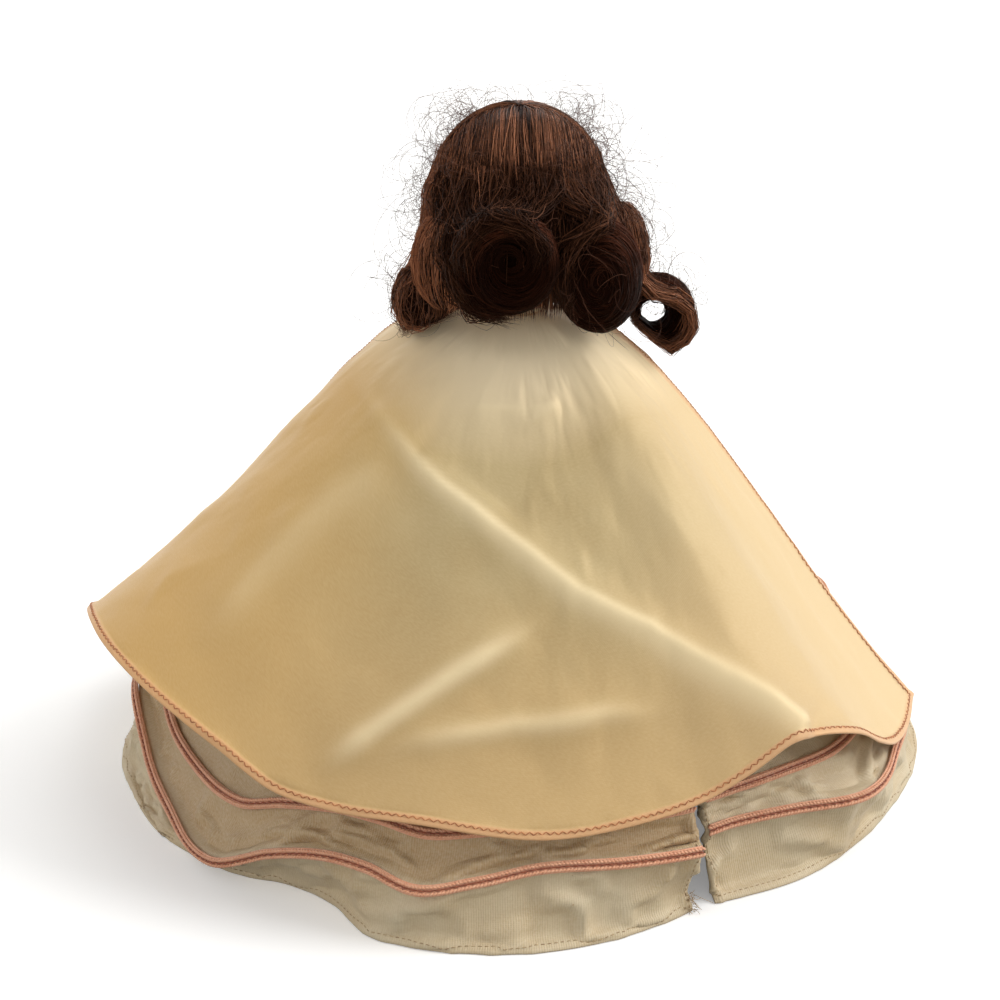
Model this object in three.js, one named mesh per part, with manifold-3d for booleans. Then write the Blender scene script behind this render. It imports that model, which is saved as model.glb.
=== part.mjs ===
// Hard-plastic doll strung on elastic, with sleeping eyes, a rolled wig, a ribbed gown and a satin cape.
// Millimetres, +Z up. The doll stands on the floor at Z 0 and faces -Y, so its left hand is on +X.
// Bearings are in degrees, counted from the middle of the back (+Y) towards the doll's left (+X).
import * as THREE from "three";
import { mergeVertices } from "three/addons/utils/BufferGeometryUtils.js";
import Module from "manifold-3d";

const wasm = await Module();
wasm.setup();

// Fits
const gap = 0.3; // clearance between pieces that touch
const wall = 1.5; // hard-plastic wall
const clothThickness = 0.6; // gown and cape cloth

// Heights above the floor
const hipHeight = 66;
const waistHeight = 92;
const shoulderHeight = 115;
const neckTop = shoulderHeight + 11; // rim of the cup that the neck turns in
const headHeight = neckTop + 29.5; // middle of the head

// Head and face
const headHalfWidth = 20;
const headHalfDepth = 20.5;
const headHalfHeight = 22;
const neckRadius = 6.2;
const neckFloor = 1.6; // plastic under the neck's bore
const noseHeight = 1.9;
const cheekHeight = 1.2;
const chinHeight = 1.3;
const headSeam = 1; // how far the side seam lies behind the head's middle

// Sleeping eyes
const eyeSpacing = 15.6; // between the two eye middles
const eyeDrop = 1.5; // eyes below the middle of the head
const eyeRadius = 4.2;
const eyeOpeningWidth = 6.4;
const eyeOpeningHeight = 4.9;
const eyeAxleRadius = 0.7;
const eyeWeightRadius = 2.4;
const eyeWeightLength = 5;
const eyeStemBack = 6.5; // weight behind the axle
const eyeStemDrop = 10; // weight below the axle

// Torso
const hipHalfWidth = 16.5;
const hipHalfDepth = 11.6;
const waistHalfWidth = 13;
const waistHalfDepth = 10;
const chestHalfWidth = 14.8;
const chestHalfDepth = 10.6;

// Arms and legs
const shoulderFace = 13.6; // side face that an arm turns against, from the middle
const shoulderRadius = 5.8;
const armReach = 50; // shoulder to fingertips
const armSpread = 36; // degrees out from hanging straight down
const armForward = 40; // degrees that the arms are held forward
const hipFace = 7; // side face that a leg turns against, from the middle
const hipRadius = 8.2;
const legStance = 10; // a leg's middle from the doll's middle
const legForward = 45; // degrees that a leg swings, and back
const legBack = 25;
const thighRadius = 6.8;
const calfRadius = 5.3;
const ankleRadius = 3.7;
const shoeLength = 22;
const shoeWidth = 10;
const shoeHeight = 8.5;

// Stringing
const wireRadius = 0.5;
const hookEye = 1.6; // middle radius of a hook's eye
const hookWasher = 2.6; // radius of the washer that a limb turns on
const washerThickness = 0.8;
const elasticRadius = 0.55;

// Wig
const capThickness = 0.7;
const hairThickness = 1.5; // crown hair over the wig cap
const hairlineFront = 13; // hairline above the middle of the head, at the forehead
const hairlineBack = 16.5; // hairline below the middle of the head, at the nape
const hairClear = 1; // hair above the cape as the head turns

// Gown
const bodiceTop = shoulderHeight - 7.7; // top edge under the arms
const bodiceDip = 3.2; // how much higher the edge stands at the middle of the front
const lapDegrees = 9; // each side of the lapped back
const snapRadius = 1.5;
const snapHeight = 1.6;
const waistbandHeight = 3.4;
const waistbandThickness = 0.8;
const hemRadius = 106;
const braidRadius = 104; // lower braid
const braidHeight = 19;
const upperBraidRadius = 97;
const upperBraidHeight = 28;
const braidThickness = 1.3;
const slitBearing = -27; // the open back edge
const slitDegrees = 3.2; // its width at the hem

// Cape
const capeNeckRadius = 9.2;
const capeNeckHeight = neckTop + 1.2;
const capeHemRadius = 108;
const capeHemHeight = 30;
const capeLeftEdge = [96, 108]; // bearing of a front edge at the neck and at the hem
const capeRightEdge = [-82, -80];
const neckbandRadius = 7.7;
const neckbandThickness = 1;
const neckbandHeight = 3.6;
const bowWidth = 15;
const bowDepth = 2.6;
const tailLength = 15;

const degree = Math.PI / 180;
const at = (x, y, z) => new THREE.Vector3(x, y, z);
const around = (bearing, radius, z) =>
  at(radius * Math.sin(bearing * degree), radius * Math.cos(bearing * degree), z);

// Positions only, with shared corners merged and flat slivers dropped, facing out
function plain(geometry) {
  const bare = new THREE.BufferGeometry();
  bare.setAttribute("position", geometry.getAttribute("position"));
  bare.setIndex(geometry.index);
  const merged = mergeVertices(bare, 1e-4);
  const corners = merged.index.array;
  const faces = [];
  for (let i = 0; i < corners.length; i += 3) {
    const [a, b, c] = [corners[i], corners[i + 1], corners[i + 2]];
    if (a !== b && b !== c && c !== a) faces.push([a, b, c]);
  }
  const point = (i) => new THREE.Vector3().fromBufferAttribute(merged.getAttribute("position"), i);
  let volume = 0;
  for (const [a, b, c] of faces) volume += point(a).dot(point(b).cross(point(c)));
  const turned = volume < 0 ? faces.map(([a, b, c]) => [a, c, b]) : faces;
  merged.setIndex(turned.flat());
  return merged;
}

function solid(geometry) {
  const shape = plain(geometry);
  const vertProperties = new Float32Array(shape.getAttribute("position").array);
  const triVerts = new Uint32Array(shape.index.array);
  return new wasm.Manifold(new wasm.Mesh({ numProp: 3, vertProperties, triVerts }));
}

function shapeOf(body) {
  const mesh = body.getMesh();
  const geometry = new THREE.BufferGeometry();
  geometry.setAttribute("position", new THREE.BufferAttribute(mesh.vertProperties, 3));
  geometry.setIndex(new THREE.BufferAttribute(mesh.triVerts, 1));
  return geometry;
}

const joined = (...bodies) => bodies.reduce((sum, body) => sum.add(body));

function meshFrom(points, faces) {
  const geometry = new THREE.BufferGeometry().setFromPoints(points);
  geometry.setIndex(faces.flat());
  return geometry;
}

// A closed solid through rings that all have as many points
function loft(rings) {
  const count = rings[0].length;
  const points = rings.flat();
  const faces = [];
  for (let r = 0; r + 1 < rings.length; r++) {
    for (let i = 0; i < count; i++) {
      const a = r * count + i;
      const b = r * count + ((i + 1) % count);
      faces.push([a, b, b + count], [a, b + count, a + count]);
    }
  }
  for (const [ring, flip] of [[0, true], [rings.length - 1, false]]) {
    const middle = rings[ring].reduce((sum, p) => sum.add(p), at(0, 0, 0)).divideScalar(count);
    const hub = points.push(middle) - 1;
    for (let i = 0; i < count; i++) {
      const a = ring * count + i;
      const b = ring * count + ((i + 1) % count);
      faces.push(flip ? [hub, b, a] : [hub, a, b]);
    }
  }
  return meshFrom(points, faces);
}

const oval = (middle, across, up, halfAcross, halfUp, count) =>
  Array.from({ length: count }, (_, i) => {
    const turn = (i / count) * 2 * Math.PI;
    const side = across.clone().multiplyScalar(halfAcross * Math.cos(turn));
    return middle.clone().add(side).addScaledVector(up, halfUp * Math.sin(turn));
  });

const levelOval = (x, y, z, halfWidth, halfDepth, count) =>
  oval(at(x, y, z), at(1, 0, 0), at(0, 1, 0), halfWidth, halfDepth, count);

// A round cord through points that lie in one plane
function cord(points, planeNormal, radius, sides) {
  const rings = points.map((point, i) => {
    const before = points[Math.max(i - 1, 0)];
    const after = points[Math.min(i + 1, points.length - 1)];
    const across = after.clone().sub(before).cross(planeNormal).normalize();
    return oval(point, across, planeNormal, radius, radius, sides);
  });
  return loft(rings);
}

// A sheet of cloth as a closed solid: its surface, grown along its normals from one offset to another
function sheet(surface, columns, rows, from, to) {
  const nudge = 1e-3;
  const layer = (offset) =>
    columns.flatMap((u) =>
      rows.map((v) => {
        const back = v > 0.5 ? -nudge : nudge;
        const point = surface(u, v);
        const along = surface(u + nudge * 50, v).sub(surface(u - nudge * 50, v));
        const down = surface(u, v + back).sub(point).multiplyScalar(Math.sign(back));
        point.addScaledVector(along.cross(down).normalize(), offset);
        point.z = Math.max(point.z, 0);
        return point;
      })
    );
  const points = [...layer(from), ...layer(to)];
  const count = rows.length;
  const top = columns.length * count;
  const faces = [];
  const quad = (a, b, c, d) => faces.push([a, b, c], [a, c, d]);
  for (let i = 0; i + 1 < columns.length; i++) {
    for (let j = 0; j + 1 < count; j++) {
      const a = i * count + j;
      quad(a, a + 1, a + count + 1, a + count);
      quad(top + a, top + a + count, top + a + count + 1, top + a + 1);
    }
    const first = i * count;
    const last = first + count - 1;
    quad(first, first + count, top + first + count, top + first);
    quad(last, top + last, top + last + count, last + count);
  }
  for (let j = 0; j + 1 < count; j++) {
    const end = (columns.length - 1) * count + j;
    quad(j, top + j, top + j + 1, j + 1);
    quad(end, end + 1, top + end + 1, top + end);
  }
  return meshFrom(points, faces);
}

const spread = (from, to, count) =>
  Array.from({ length: count }, (_, i) => from + ((to - from) * i) / (count - 1));

// A smooth value along a table of hand-set stations: [bearing, value, value, ...]
function follow(table, bearing, column) {
  const last = table.length - 2;
  let i = 0;
  while (i < last && bearing > table[i + 1][0]) i++;
  const row = (k) => table[Math.min(Math.max(k, 0), table.length - 1)];
  const [p, a, b, n] = [row(i - 1), row(i), row(i + 1), row(i + 2)];
  const step = b[0] - a[0];
  const t = Math.min(Math.max((bearing - a[0]) / step, 0), 1);
  const slopeA = ((b[column] - p[column]) / (b[0] - p[0])) * step;
  const slopeB = ((n[column] - a[column]) / (n[0] - a[0])) * step;
  const rise = b[column] - a[column];
  const cubic = slopeA + slopeB - 2 * rise;
  const square = 3 * rise - 2 * slopeA - slopeB;
  return a[column] + t * (slopeA + t * (square + t * cubic));
}

const between = (from, to, share) => from + (to - from) * share;

// The same with straight runs between the stations
function straight(table, value, column) {
  let i = 0;
  while (i < table.length - 2 && value > table[i + 1][0]) i++;
  const [a, b] = [table[i], table[i + 1]];
  const share = Math.min(Math.max((value - a[0]) / (b[0] - a[0]), 0), 1);
  return between(a[column], b[column], share);
}

const box = (low, high) => {
  const size = high.clone().sub(low);
  const middle = low.clone().add(high).divideScalar(2);
  return new THREE.BoxGeometry(size.x, size.y, size.z).translate(middle.x, middle.y, middle.z);
};

const ball = (middle, halves, around = 14, down = 10) =>
  new THREE.SphereGeometry(1, around, down)
    .rotateX(Math.PI / 2)
    .scale(halves.x, halves.y, halves.z)
    .translate(middle.x, middle.y, middle.z);

const roundBall = (middle, radius, around, down) => ball(middle, at(radius, radius, radius), around, down);

// A round bar along X, Y or Z
function bar(axis, from, to, radius, middle, sides = 12) {
  const length = to - from;
  const rod = new THREE.CylinderGeometry(radius, radius, length, sides);
  if (axis === "x") rod.rotateZ(Math.PI / 2);
  if (axis === "z") rod.rotateX(Math.PI / 2);
  const place = { x: at(1, 0, 0), y: at(0, 1, 0), z: at(0, 0, 1) }[axis].multiplyScalar((from + to) / 2);
  place.add(middle);
  return rod.translate(place.x, place.y, place.z);
}

// Bar along X on one side of the doll: side +1 is its left, -1 its right
const sideBar = (side, from, to, radius, middle, sides) =>
  bar("x", Math.min(side * from, side * to), Math.max(side * from, side * to), radius, middle, sides);

const far = 400;

const plastic = (color, roughness = 0.42) =>
  new THREE.MeshStandardMaterial({ color, roughness, metalness: 0 });
const metal = (color, roughness) => new THREE.MeshStandardMaterial({ color, roughness, metalness: 1 });
const skin = plastic("#e2ae8b");
const eyeGlass = plastic("#dfe6ea", 0.15);
const lead = metal("#6f7377", 0.6);
const steel = metal("#b9bcc0", 0.35);
const rubber = plastic("#b9a98c", 0.8);
const capNet = plastic("#4a2c20", 0.9);
const hair = plastic("#3a1a12", 0.7);
const faille = plastic("#e1d7bf", 0.75);
const satin = plastic("#e6cd9b", 0.5);
const braid = plastic("#cd8269", 0.8);

const doll = new THREE.Group();
const add = (name, geometry, material) => {
  const mesh = new THREE.Mesh(plain(geometry), material);
  mesh.name = name;
  doll.add(mesh);
};
const addBody = (name, body, material) => add(name, shapeOf(body), material);

// Head: an egg with a small nose, cheeks and chin, grown outwards by an offset
const faceForms = [
  { side: 0, rise: -5.2, out: noseHeight, wide: 1.7, tall: 2.3 },
  { side: 9, rise: -7.5, out: cheekHeight, wide: 5, tall: 5 },
  { side: -9, rise: -7.5, out: cheekHeight, wide: 5, tall: 5 },
  { side: 0, rise: -16.5, out: chinHeight, wide: 5, tall: 3.6 },
  { side: 0, rise: -10, out: 0.7, wide: 2.6, tall: 1.6 },
];

function headShape(grow, count = 22, rows = 16) {
  const rings = [];
  const tip = 0.02;
  for (const turn of spread(-Math.PI / 2 + tip, Math.PI / 2 - tip, rows)) {
    const ring = [];
    for (let i = 0; i < count; i++) {
      const lean = (i / count) * 2 * Math.PI;
      const x = Math.cos(turn) * Math.sin(lean);
      const y = -Math.cos(turn) * Math.cos(lean);
      const z = Math.sin(turn);
      const point = at(x * (headHalfWidth + grow), y * (headHalfDepth + grow), z * (headHalfHeight + grow));
      const facing = Math.max(0, -y);
      for (const form of faceForms) {
        const sideways = (point.x - form.side) / form.wide;
        const upwards = (point.z - form.rise) / form.tall;
        point.addScaledVector(at(x, y, z), form.out * facing * Math.exp(-(sideways ** 2 + upwards ** 2)));
      }
      point.z += headHeight;
      ring.push(point);
    }
    rings.push(ring);
  }
  return loft(rings);
}

const headEgg = (grow, around = 20, down = 12) =>
  ball(
    at(0, 0, headHeight),
    at(headHalfWidth + grow, headHalfDepth + grow, headHalfHeight + grow),
    around,
    down
  );

const neckEnd = neckTop - 1.2; // lowest point of the head's neck
const neckMiddle = at(0, 0, neckEnd + neckRadius);
const eyeX = eyeSpacing / 2;
const eyeZ = headHeight - eyeDrop;
const eyeSurface =
  headHalfDepth * Math.sqrt(1 - (eyeX / headHalfWidth) ** 2 - (eyeDrop / headHalfHeight) ** 2);
const eyeSink = 1; // eye behind the inside of the face
const eyeY = -(eyeSurface - wall - eyeSink - eyeRadius);
const eyeMiddle = (side) => at(side * eyeX, eyeY, eyeZ);
const sides = [
  ["left", 1],
  ["right", -1],
];
const neckBore = hookWasher + 2 * gap;
const hookHole = wireRadius + 2 * gap;

function headShell() {
  const neckBar = bar("z", neckMiddle.z, headHeight - headHalfHeight / 2, neckRadius, at(0, 0, 0), 16);
  const outside = joined(
    solid(headShape(0)),
    solid(neckBar),
    solid(roundBall(neckMiddle, neckRadius, 16, 10))
  );
  const bore = bar("z", neckEnd + neckFloor, headHeight - headHalfHeight / 2, neckBore, at(0, 0, 0));
  const inside = solid(headEgg(-wall)).add(solid(bore));
  let shell = outside.subtract(inside);
  shell = shell.subtract(solid(bar("z", neckEnd - wall, headHeight, hookHole, at(0, 0, 0))));
  for (const [, side] of sides) {
    const opening = bar("y", -far / 4, eyeY, 1, at(0, 0, 0), 16);
    opening.scale(eyeOpeningWidth / 2, 1, eyeOpeningHeight / 2).translate(side * eyeX, 0, eyeZ);
    const room = eyeRadius + gap;
    shell = shell.subtract(solid(opening));
    shell = shell.subtract(solid(roundBall(eyeMiddle(side), room)));
  }
  return shell;
}

const halfSpace = (front, plane) =>
  solid(
    front
      ? box(at(-far, -far, -far), at(far, plane - gap / 2, far))
      : box(at(-far, plane + gap / 2, -far), at(far, far, far))
  );
const head = headShell();
addBody("head_front", head.intersect(halfSpace(true, headSeam)), skin);
addBody("head_back", head.intersect(halfSpace(false, headSeam)), skin);

// Sleeping eyes: two balls on one bar, with a lead weight on its stem, in brackets glued inside the face
const axleEnd = eyeX + eyeRadius + 1.2;
const bracketInner = eyeX + eyeRadius + gap;
const weightTop = at(0, eyeY + eyeStemBack, eyeZ - eyeStemDrop + eyeWeightLength / 2);
const stemEnd = weightTop.z - eyeWeightLength / 2;
for (const [name, side] of sides) {
  const eye = solid(roundBall(eyeMiddle(side), eyeRadius));
  const eyeBore = bar("x", -far / 4, far / 4, eyeAxleRadius + gap, at(0, eyeY, eyeZ), 8);
  addBody(`eye_${name}`, eye.subtract(solid(eyeBore)), eyeGlass);
  const low = at(Math.min(side * bracketInner, side * far), eyeY - 2.6, eyeZ - 2.4);
  const high = at(Math.max(side * bracketInner, side * far), eyeY + 4, eyeZ + 2.4);
  const bracket = solid(box(low, high)).intersect(solid(headEgg(-wall - gap)));
  addBody(`eye_bracket_${name}`, bracket.subtract(solid(eyeBore)), skin);
}
const stemPath = [
  at(0, eyeY, eyeZ),
  at(0, eyeY + eyeStemBack * 0.7, eyeZ - eyeStemDrop * 0.12),
  at(0, weightTop.y, eyeZ - eyeStemDrop * 0.4),
  at(0, weightTop.y, stemEnd),
];
const eyeBar = solid(bar("x", -axleEnd, axleEnd, eyeAxleRadius, at(0, eyeY, eyeZ), 8));
addBody("eye_bar", eyeBar.add(solid(cord(stemPath, at(1, 0, 0), eyeAxleRadius, 8))), steel);
const weightBottom = weightTop.z - eyeWeightLength;
const weightRod = bar("z", weightBottom, weightTop.z, eyeWeightRadius, at(0, weightTop.y, 0));
const weightBore = bar("z", stemEnd - gap, far, eyeAxleRadius + gap, at(0, weightTop.y, 0), 8);
addBody("eye_weight", solid(weightRod).subtract(solid(weightBore)), lead);

// Torso: two shells joined at the sides, with a neck cup, arm and leg faces and holes for the hooks
const torsoBottom = hipHeight - 10;
const torsoStations = [
  [torsoBottom, hipHalfWidth * 0.5, hipHalfDepth * 0.62],
  [hipHeight - 6, hipHalfWidth * 0.86, hipHalfDepth * 0.9],
  [hipHeight, hipHalfWidth, hipHalfDepth],
  [between(hipHeight, waistHeight, 0.35), hipHalfWidth, hipHalfDepth],
  [
    between(hipHeight, waistHeight, 0.69),
    between(hipHalfWidth, waistHalfWidth, 0.5),
    between(hipHalfDepth, waistHalfDepth, 0.5),
  ],
  [waistHeight, waistHalfWidth, waistHalfDepth],
  [between(waistHeight, shoulderHeight, 0.43), chestHalfWidth - 0.6, chestHalfDepth],
  [between(waistHeight, shoulderHeight, 0.78), chestHalfWidth, chestHalfDepth],
  [shoulderHeight + 2, chestHalfWidth - 1.4, chestHalfDepth - 1],
  [neckTop - 4.5, neckRadius + 2, neckRadius + 1.6],
  [neckTop, neckRadius + 0.5, neckRadius + 0.5],
];
const torsoWidth = (z) => straight(torsoStations, z, 1);
const torsoDepth = (z) => straight(torsoStations, z, 2);

function torsoForm(shrink, low, high) {
  const inner = torsoStations.map(([z]) => z).filter((z) => z > low + wall && z < high - wall);
  const levels = [low, ...inner, high];
  return loft(levels.map((z) => levelOval(0, 0, z, torsoWidth(z) - shrink, torsoDepth(z) - shrink, 16)));
}

function torsoShell() {
  const shoulder = at(0, 0, shoulderHeight);
  const hip = at(0, 0, hipHeight);
  let outside = solid(torsoForm(0, torsoBottom, neckTop));
  let inside = solid(torsoForm(wall, torsoBottom + wall, neckEnd - wall - gap - 1.5));
  for (const [, side] of sides) {
    const armRoom = shoulderRadius + 1;
    const legRoom = hipRadius + gap;
    outside = outside.subtract(solid(sideBar(side, shoulderFace - gap, far, armRoom, shoulder, 16)));
    const armWall = sideBar(side, shoulderFace - gap - wall, far, armRoom + wall, shoulder, 16);
    inside = inside.subtract(solid(armWall));
    const hipCut = legCut(side, hipFace - gap, legRoom);
    const hipWall = legCut(side, hipFace - gap - wall, legRoom + wall);
    outside = outside.subtract(hipCut);
    inside = inside.subtract(hipWall);
  }
  const dish = neckRadius + gap;
  let shell = outside.subtract(inside).subtract(solid(roundBall(neckMiddle, dish, 16, 10)));
  shell = shell.subtract(solid(bar("z", neckEnd - 8, neckEnd + 1, hookHole, at(0, 0, 0), 10)));
  shell = shell.subtract(solid(bar("x", -far, far, hookHole, shoulder, 10)));
  return shell.subtract(solid(bar("x", -far, far, hookHole, hip, 10)));
}

// Room for a leg from its face outwards, for the whole of its swing
function legCut(side, face, radius) {
  const near = Math.min(side * face, side * far);
  const away = Math.max(side * face, side * far);
  let room = solid(sideBar(side, face, far, radius, at(0, 0, hipHeight), 20));
  for (const swing of [-legBack, 0, legForward / 2, legForward]) {
    const limb = box(at(near, -radius, -far), at(away, radius, 0)).rotateX(-swing * degree);
    room = room.add(solid(limb.translate(0, 0, hipHeight)));
  }
  return room;
}

const torso = torsoShell();
addBody("torso_front", torso.intersect(halfSpace(true, 0)), skin);
addBody("torso_back", torso.intersect(halfSpace(false, 0)), skin);

// Arms: a round shoulder, a tapering limb and a mitten hand, hollow at the shoulder for its washer
const armStations = [
  [0, 4.6, 4.6],
  [0.2, 4.5, 4.5],
  [0.4, 4.1, 4],
  [0.5, 3.9, 3.8],
  [0.6, 3.9, 3.7],
  [0.78, 2.9, 2.6],
  [0.86, 4, 2.4],
  [0.93, 3.8, 2],
  [0.98, 2.6, 1.5],
  [1, 1.2, 0.8],
];
const elbowBend = 4; // hand in front of a straight arm

function armBody(side) {
  const start = at(side * (shoulderFace + 2), 0, shoulderHeight);
  const along = at(side * Math.sin(armSpread * degree), 0, -Math.cos(armSpread * degree));
  const across = at(0, 1, 0);
  const up = along.clone().cross(across);
  const rings = armStations.map(([share, wide, thick]) => {
    const middle = start.clone().addScaledVector(along, armReach * share);
    middle.y -= elbowBend * Math.max(0, share - 0.5) * 2;
    return oval(middle, across, up, wide, thick, 8);
  });
  const thumbRoot = start.clone().addScaledVector(along, armReach * 0.85).add(at(0, -6.5, 0));
  const shoulder = roundBall(at(side * (shoulderFace + gap), 0, shoulderHeight), shoulderRadius, 12, 8);
  const thumb = ball(at(0, 0, 0), at(1.3, 1.2, 3.4), 8, 6).rotateY(-side * armSpread * degree);
  thumb.translate(thumbRoot.x, thumbRoot.y, thumbRoot.z);
  const face = solid(sideBar(side, -far, shoulderFace, far, at(0, 0, 0), 4));
  const forward = (shape) =>
    shape
      .translate(0, 0, -shoulderHeight)
      .rotateX(-armForward * degree)
      .translate(0, 0, shoulderHeight);
  const shapes = [loft(rings), shoulder, thumb].map((shape) => solid(forward(shape)));
  const whole = joined(...shapes).subtract(face);
  return hollowFor(whole, side, shoulderFace, shoulderHeight);
}

// A bore for a hook and a room for its washer, from the face that a limb turns on
function hollowFor(limb, side, face, height) {
  const middle = at(0, 0, height);
  const washerRoom = hookWasher + gap;
  const roomDepth = washerThickness + 2 * gap;
  const bore = sideBar(side, face - wall, face + wall + 0.1, hookHole, middle, 10);
  const room = sideBar(side, face + wall, face + wall + roomDepth, washerRoom, middle, 12);
  return limb.subtract(solid(bore)).subtract(solid(room));
}

for (const [name, side] of sides) addBody(`arm_${name}`, armBody(side), skin);

// Legs: a round hip, a tapering limb and a moulded shoe with a flat sole
const kneeShare = 0.55;
const crotchRoom = hipHeight - torsoBottom + 2.2; // a leg's inner side stays this far from the hip axis

function legBody(side) {
  const x = side * legStance;
  const legStations = [
    [hipHeight - 3, thighRadius, thighRadius * 1.08, 0],
    [hipHeight * 0.8, thighRadius, thighRadius * 1.08, 0],
    [hipHeight * kneeShare, calfRadius * 0.98, calfRadius * 1.06, 0],
    [hipHeight * 0.4, calfRadius, calfRadius * 1.1, 0.6],
    [hipHeight * 0.24, (calfRadius + ankleRadius) / 2, (calfRadius + ankleRadius) / 2, 0.5],
    [hipHeight * 0.12, ankleRadius, ankleRadius * 1.1, 0],
    [1, ankleRadius, ankleRadius * 1.1, 0],
  ];
  const limb = loft(legStations.map(([z, wide, deep, back]) => levelOval(x, back, z, wide, deep, 10)));
  const hip = roundBall(at(x, 0, hipHeight), hipRadius, 14, 8);
  const shoeMiddle = at(x, -shoeLength * 0.22, 1);
  const shoe = ball(shoeMiddle, at(shoeWidth / 2, shoeLength / 2, shoeHeight), 16, 8);
  const floor = solid(box(at(-far, -far, -far), at(far, far, 0)));
  const crotch = solid(sideBar(side, -far, hipFace, crotchRoom, at(0, 0, hipHeight), 24));
  const whole = joined(solid(hip), solid(limb), solid(shoe)).subtract(floor).subtract(crotch);
  return hollowFor(whole, side, hipFace, hipHeight);
}

for (const [name, side] of sides) addBody(`leg_${name}`, legBody(side), skin);

// Hooks: a washer inside the limb, a shank through the hole and an eye inside the torso
const eyeRing = (axis) => {
  const ring = new THREE.TorusGeometry(hookEye, wireRadius, 6, 12);
  if (axis === "x") ring.rotateY(Math.PI / 2);
  if (axis === "y") ring.rotateX(Math.PI / 2);
  return ring;
};

function sideHook(side, face, height, eyeAxis) {
  const middle = at(0, 0, height);
  const washerFrom = face + wall + gap;
  const eyeAt = face - gap - wall - gap - hookEye - wireRadius;
  const washer = sideBar(side, washerFrom, washerFrom + washerThickness, hookWasher, middle, 12);
  const shank = sideBar(side, eyeAt + hookEye, washerFrom + 0.1, wireRadius, middle, 6);
  const eye = eyeRing(eyeAxis).translate(side * eyeAt, 0, height);
  return { eyeAt, body: joined(solid(washer), solid(shank), solid(eye)) };
}

const hookSlack = hookEye - wireRadius - elasticRadius - gap; // elastic's middle from its eye's middle
const armHook = sideHook(1, shoulderFace, shoulderHeight, "y");
const legHook = sideHook(1, hipFace, hipHeight, "z");
for (const [name, side] of sides) {
  addBody(`arm_hook_${name}`, sideHook(side, shoulderFace, shoulderHeight, "y").body, steel);
  addBody(`leg_hook_${name}`, sideHook(side, hipFace, hipHeight, "z").body, steel);
}

const neckEyeZ = shoulderHeight - elasticRadius - 2 * gap - hookEye - wireRadius - 1;
const neckWasherZ = neckEnd + neckFloor + gap;
const neckHook = joined(
  solid(bar("z", neckWasherZ, neckWasherZ + washerThickness, hookWasher, at(0, 0, 0))),
  solid(bar("z", neckEyeZ + hookEye, neckWasherZ + 0.1, wireRadius, at(0, 0, 0), 6)),
  solid(eyeRing("x").translate(0, 0, neckEyeZ))
);
addBody("neck_hook", neckHook, steel);

// Arm elastic: one loop through both arm hooks, with the neck hook's shank between its two runs
const loopHalf = 2.6;
const loopEnd = armHook.eyeAt - hookSlack - loopHalf;
const loopCorner = (turn, side) =>
  at(side * loopEnd + loopHalf * Math.cos(turn), loopHalf * Math.sin(turn), shoulderHeight);
const loopPath = new THREE.CatmullRomCurve3(
  [
    ...spread(-Math.PI / 2, Math.PI / 2, 7).map((turn) => loopCorner(turn, 1)),
    ...spread(Math.PI / 2, 1.5 * Math.PI, 7).map((turn) => loopCorner(turn, -1)),
  ],
  true
);
add("arm_elastic", new THREE.TubeGeometry(loopPath, 24, elasticRadius, 6, true), rubber);

// Leg elastic: from a knot under one leg hook, up through the neck hook and down to the other knot
const knotRadius = 1.5;
const knotZ = hipHeight - wireRadius - gap - knotRadius;
const elasticTop = neckEyeZ - hookSlack;
const bendRadius = hookEye - hookSlack; // elastic's middle round the wire of the neck hook
const overWire = spread(0, 180, 7).map((turn) =>
  at(bendRadius * Math.cos(turn * degree), 0, elasticTop - bendRadius * (1 - Math.sin(turn * degree)))
);
const legElasticPath = [
  at(legHook.eyeAt, 0, knotZ),
  at(legHook.eyeAt, 0, hipHeight + 6),
  ...overWire,
  at(-legHook.eyeAt, 0, hipHeight + 6),
  at(-legHook.eyeAt, 0, knotZ),
];
const knot = (side) => solid(roundBall(at(side * legHook.eyeAt, 0, knotZ), knotRadius, 8, 6));
const legElastic = joined(solid(cord(legElasticPath, at(0, 1, 0), elasticRadius, 6)), knot(1), knot(-1));
addBody("leg_elastic", legElastic, rubber);

// Cape: a part-circle of satin that hangs from the neck, lifted at the left and waved at the right
const capeHem = [
  [-90, 1.5, -8],
  [-78, 1.5, -8.5],
  [-70, 1.5, -9],
  [-60, 1, -4.5],
  [-50, 0, 7.5],
  [-40, -2.5, 12],
  [-32, -5, 5.5],
  [-26, -6.5, 1],
  [-16, -6.5, -1.5],
  [-3, -5, -2.5],
  [13, -2, 2],
  [24, 1, 3.5],
  [32, 4, 6.5],
  [40, 6, 14],
  [50, 8, 20],
  [62, 9, 23],
  [75, 9, 21.5],
  [90, 8, 9.5],
  [100, 6.5, 3],
  [108, 5.5, 0],
];
// How far the cape swells over the shoulders, and how soon that dies away down the cloth
const capeShoulder = [
  [-90, 14, 2.4],
  [-65, 12.5, 2.3],
  [-45, 9, 2.3],
  [0, 4, 2],
  [45, 5, 2.5],
  [70, 7.5, 3],
  [90, 13, 2.8],
  [112, 14, 2.6],
];
// Creases in the satin: stations of bearing and share of the way down, with a height and a half width
const capeCreases = [
  { height: 2.6, half: 8, stations: [[2, 0.48], [-16, 0.6], [-30, 0.8], [-42, 1]] },
  { height: 2.2, half: 8, stations: [[-6, 0.62], [10, 0.72], [26, 0.92]] },
];
const capeSlope = 140; // length from neck to hem

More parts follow.
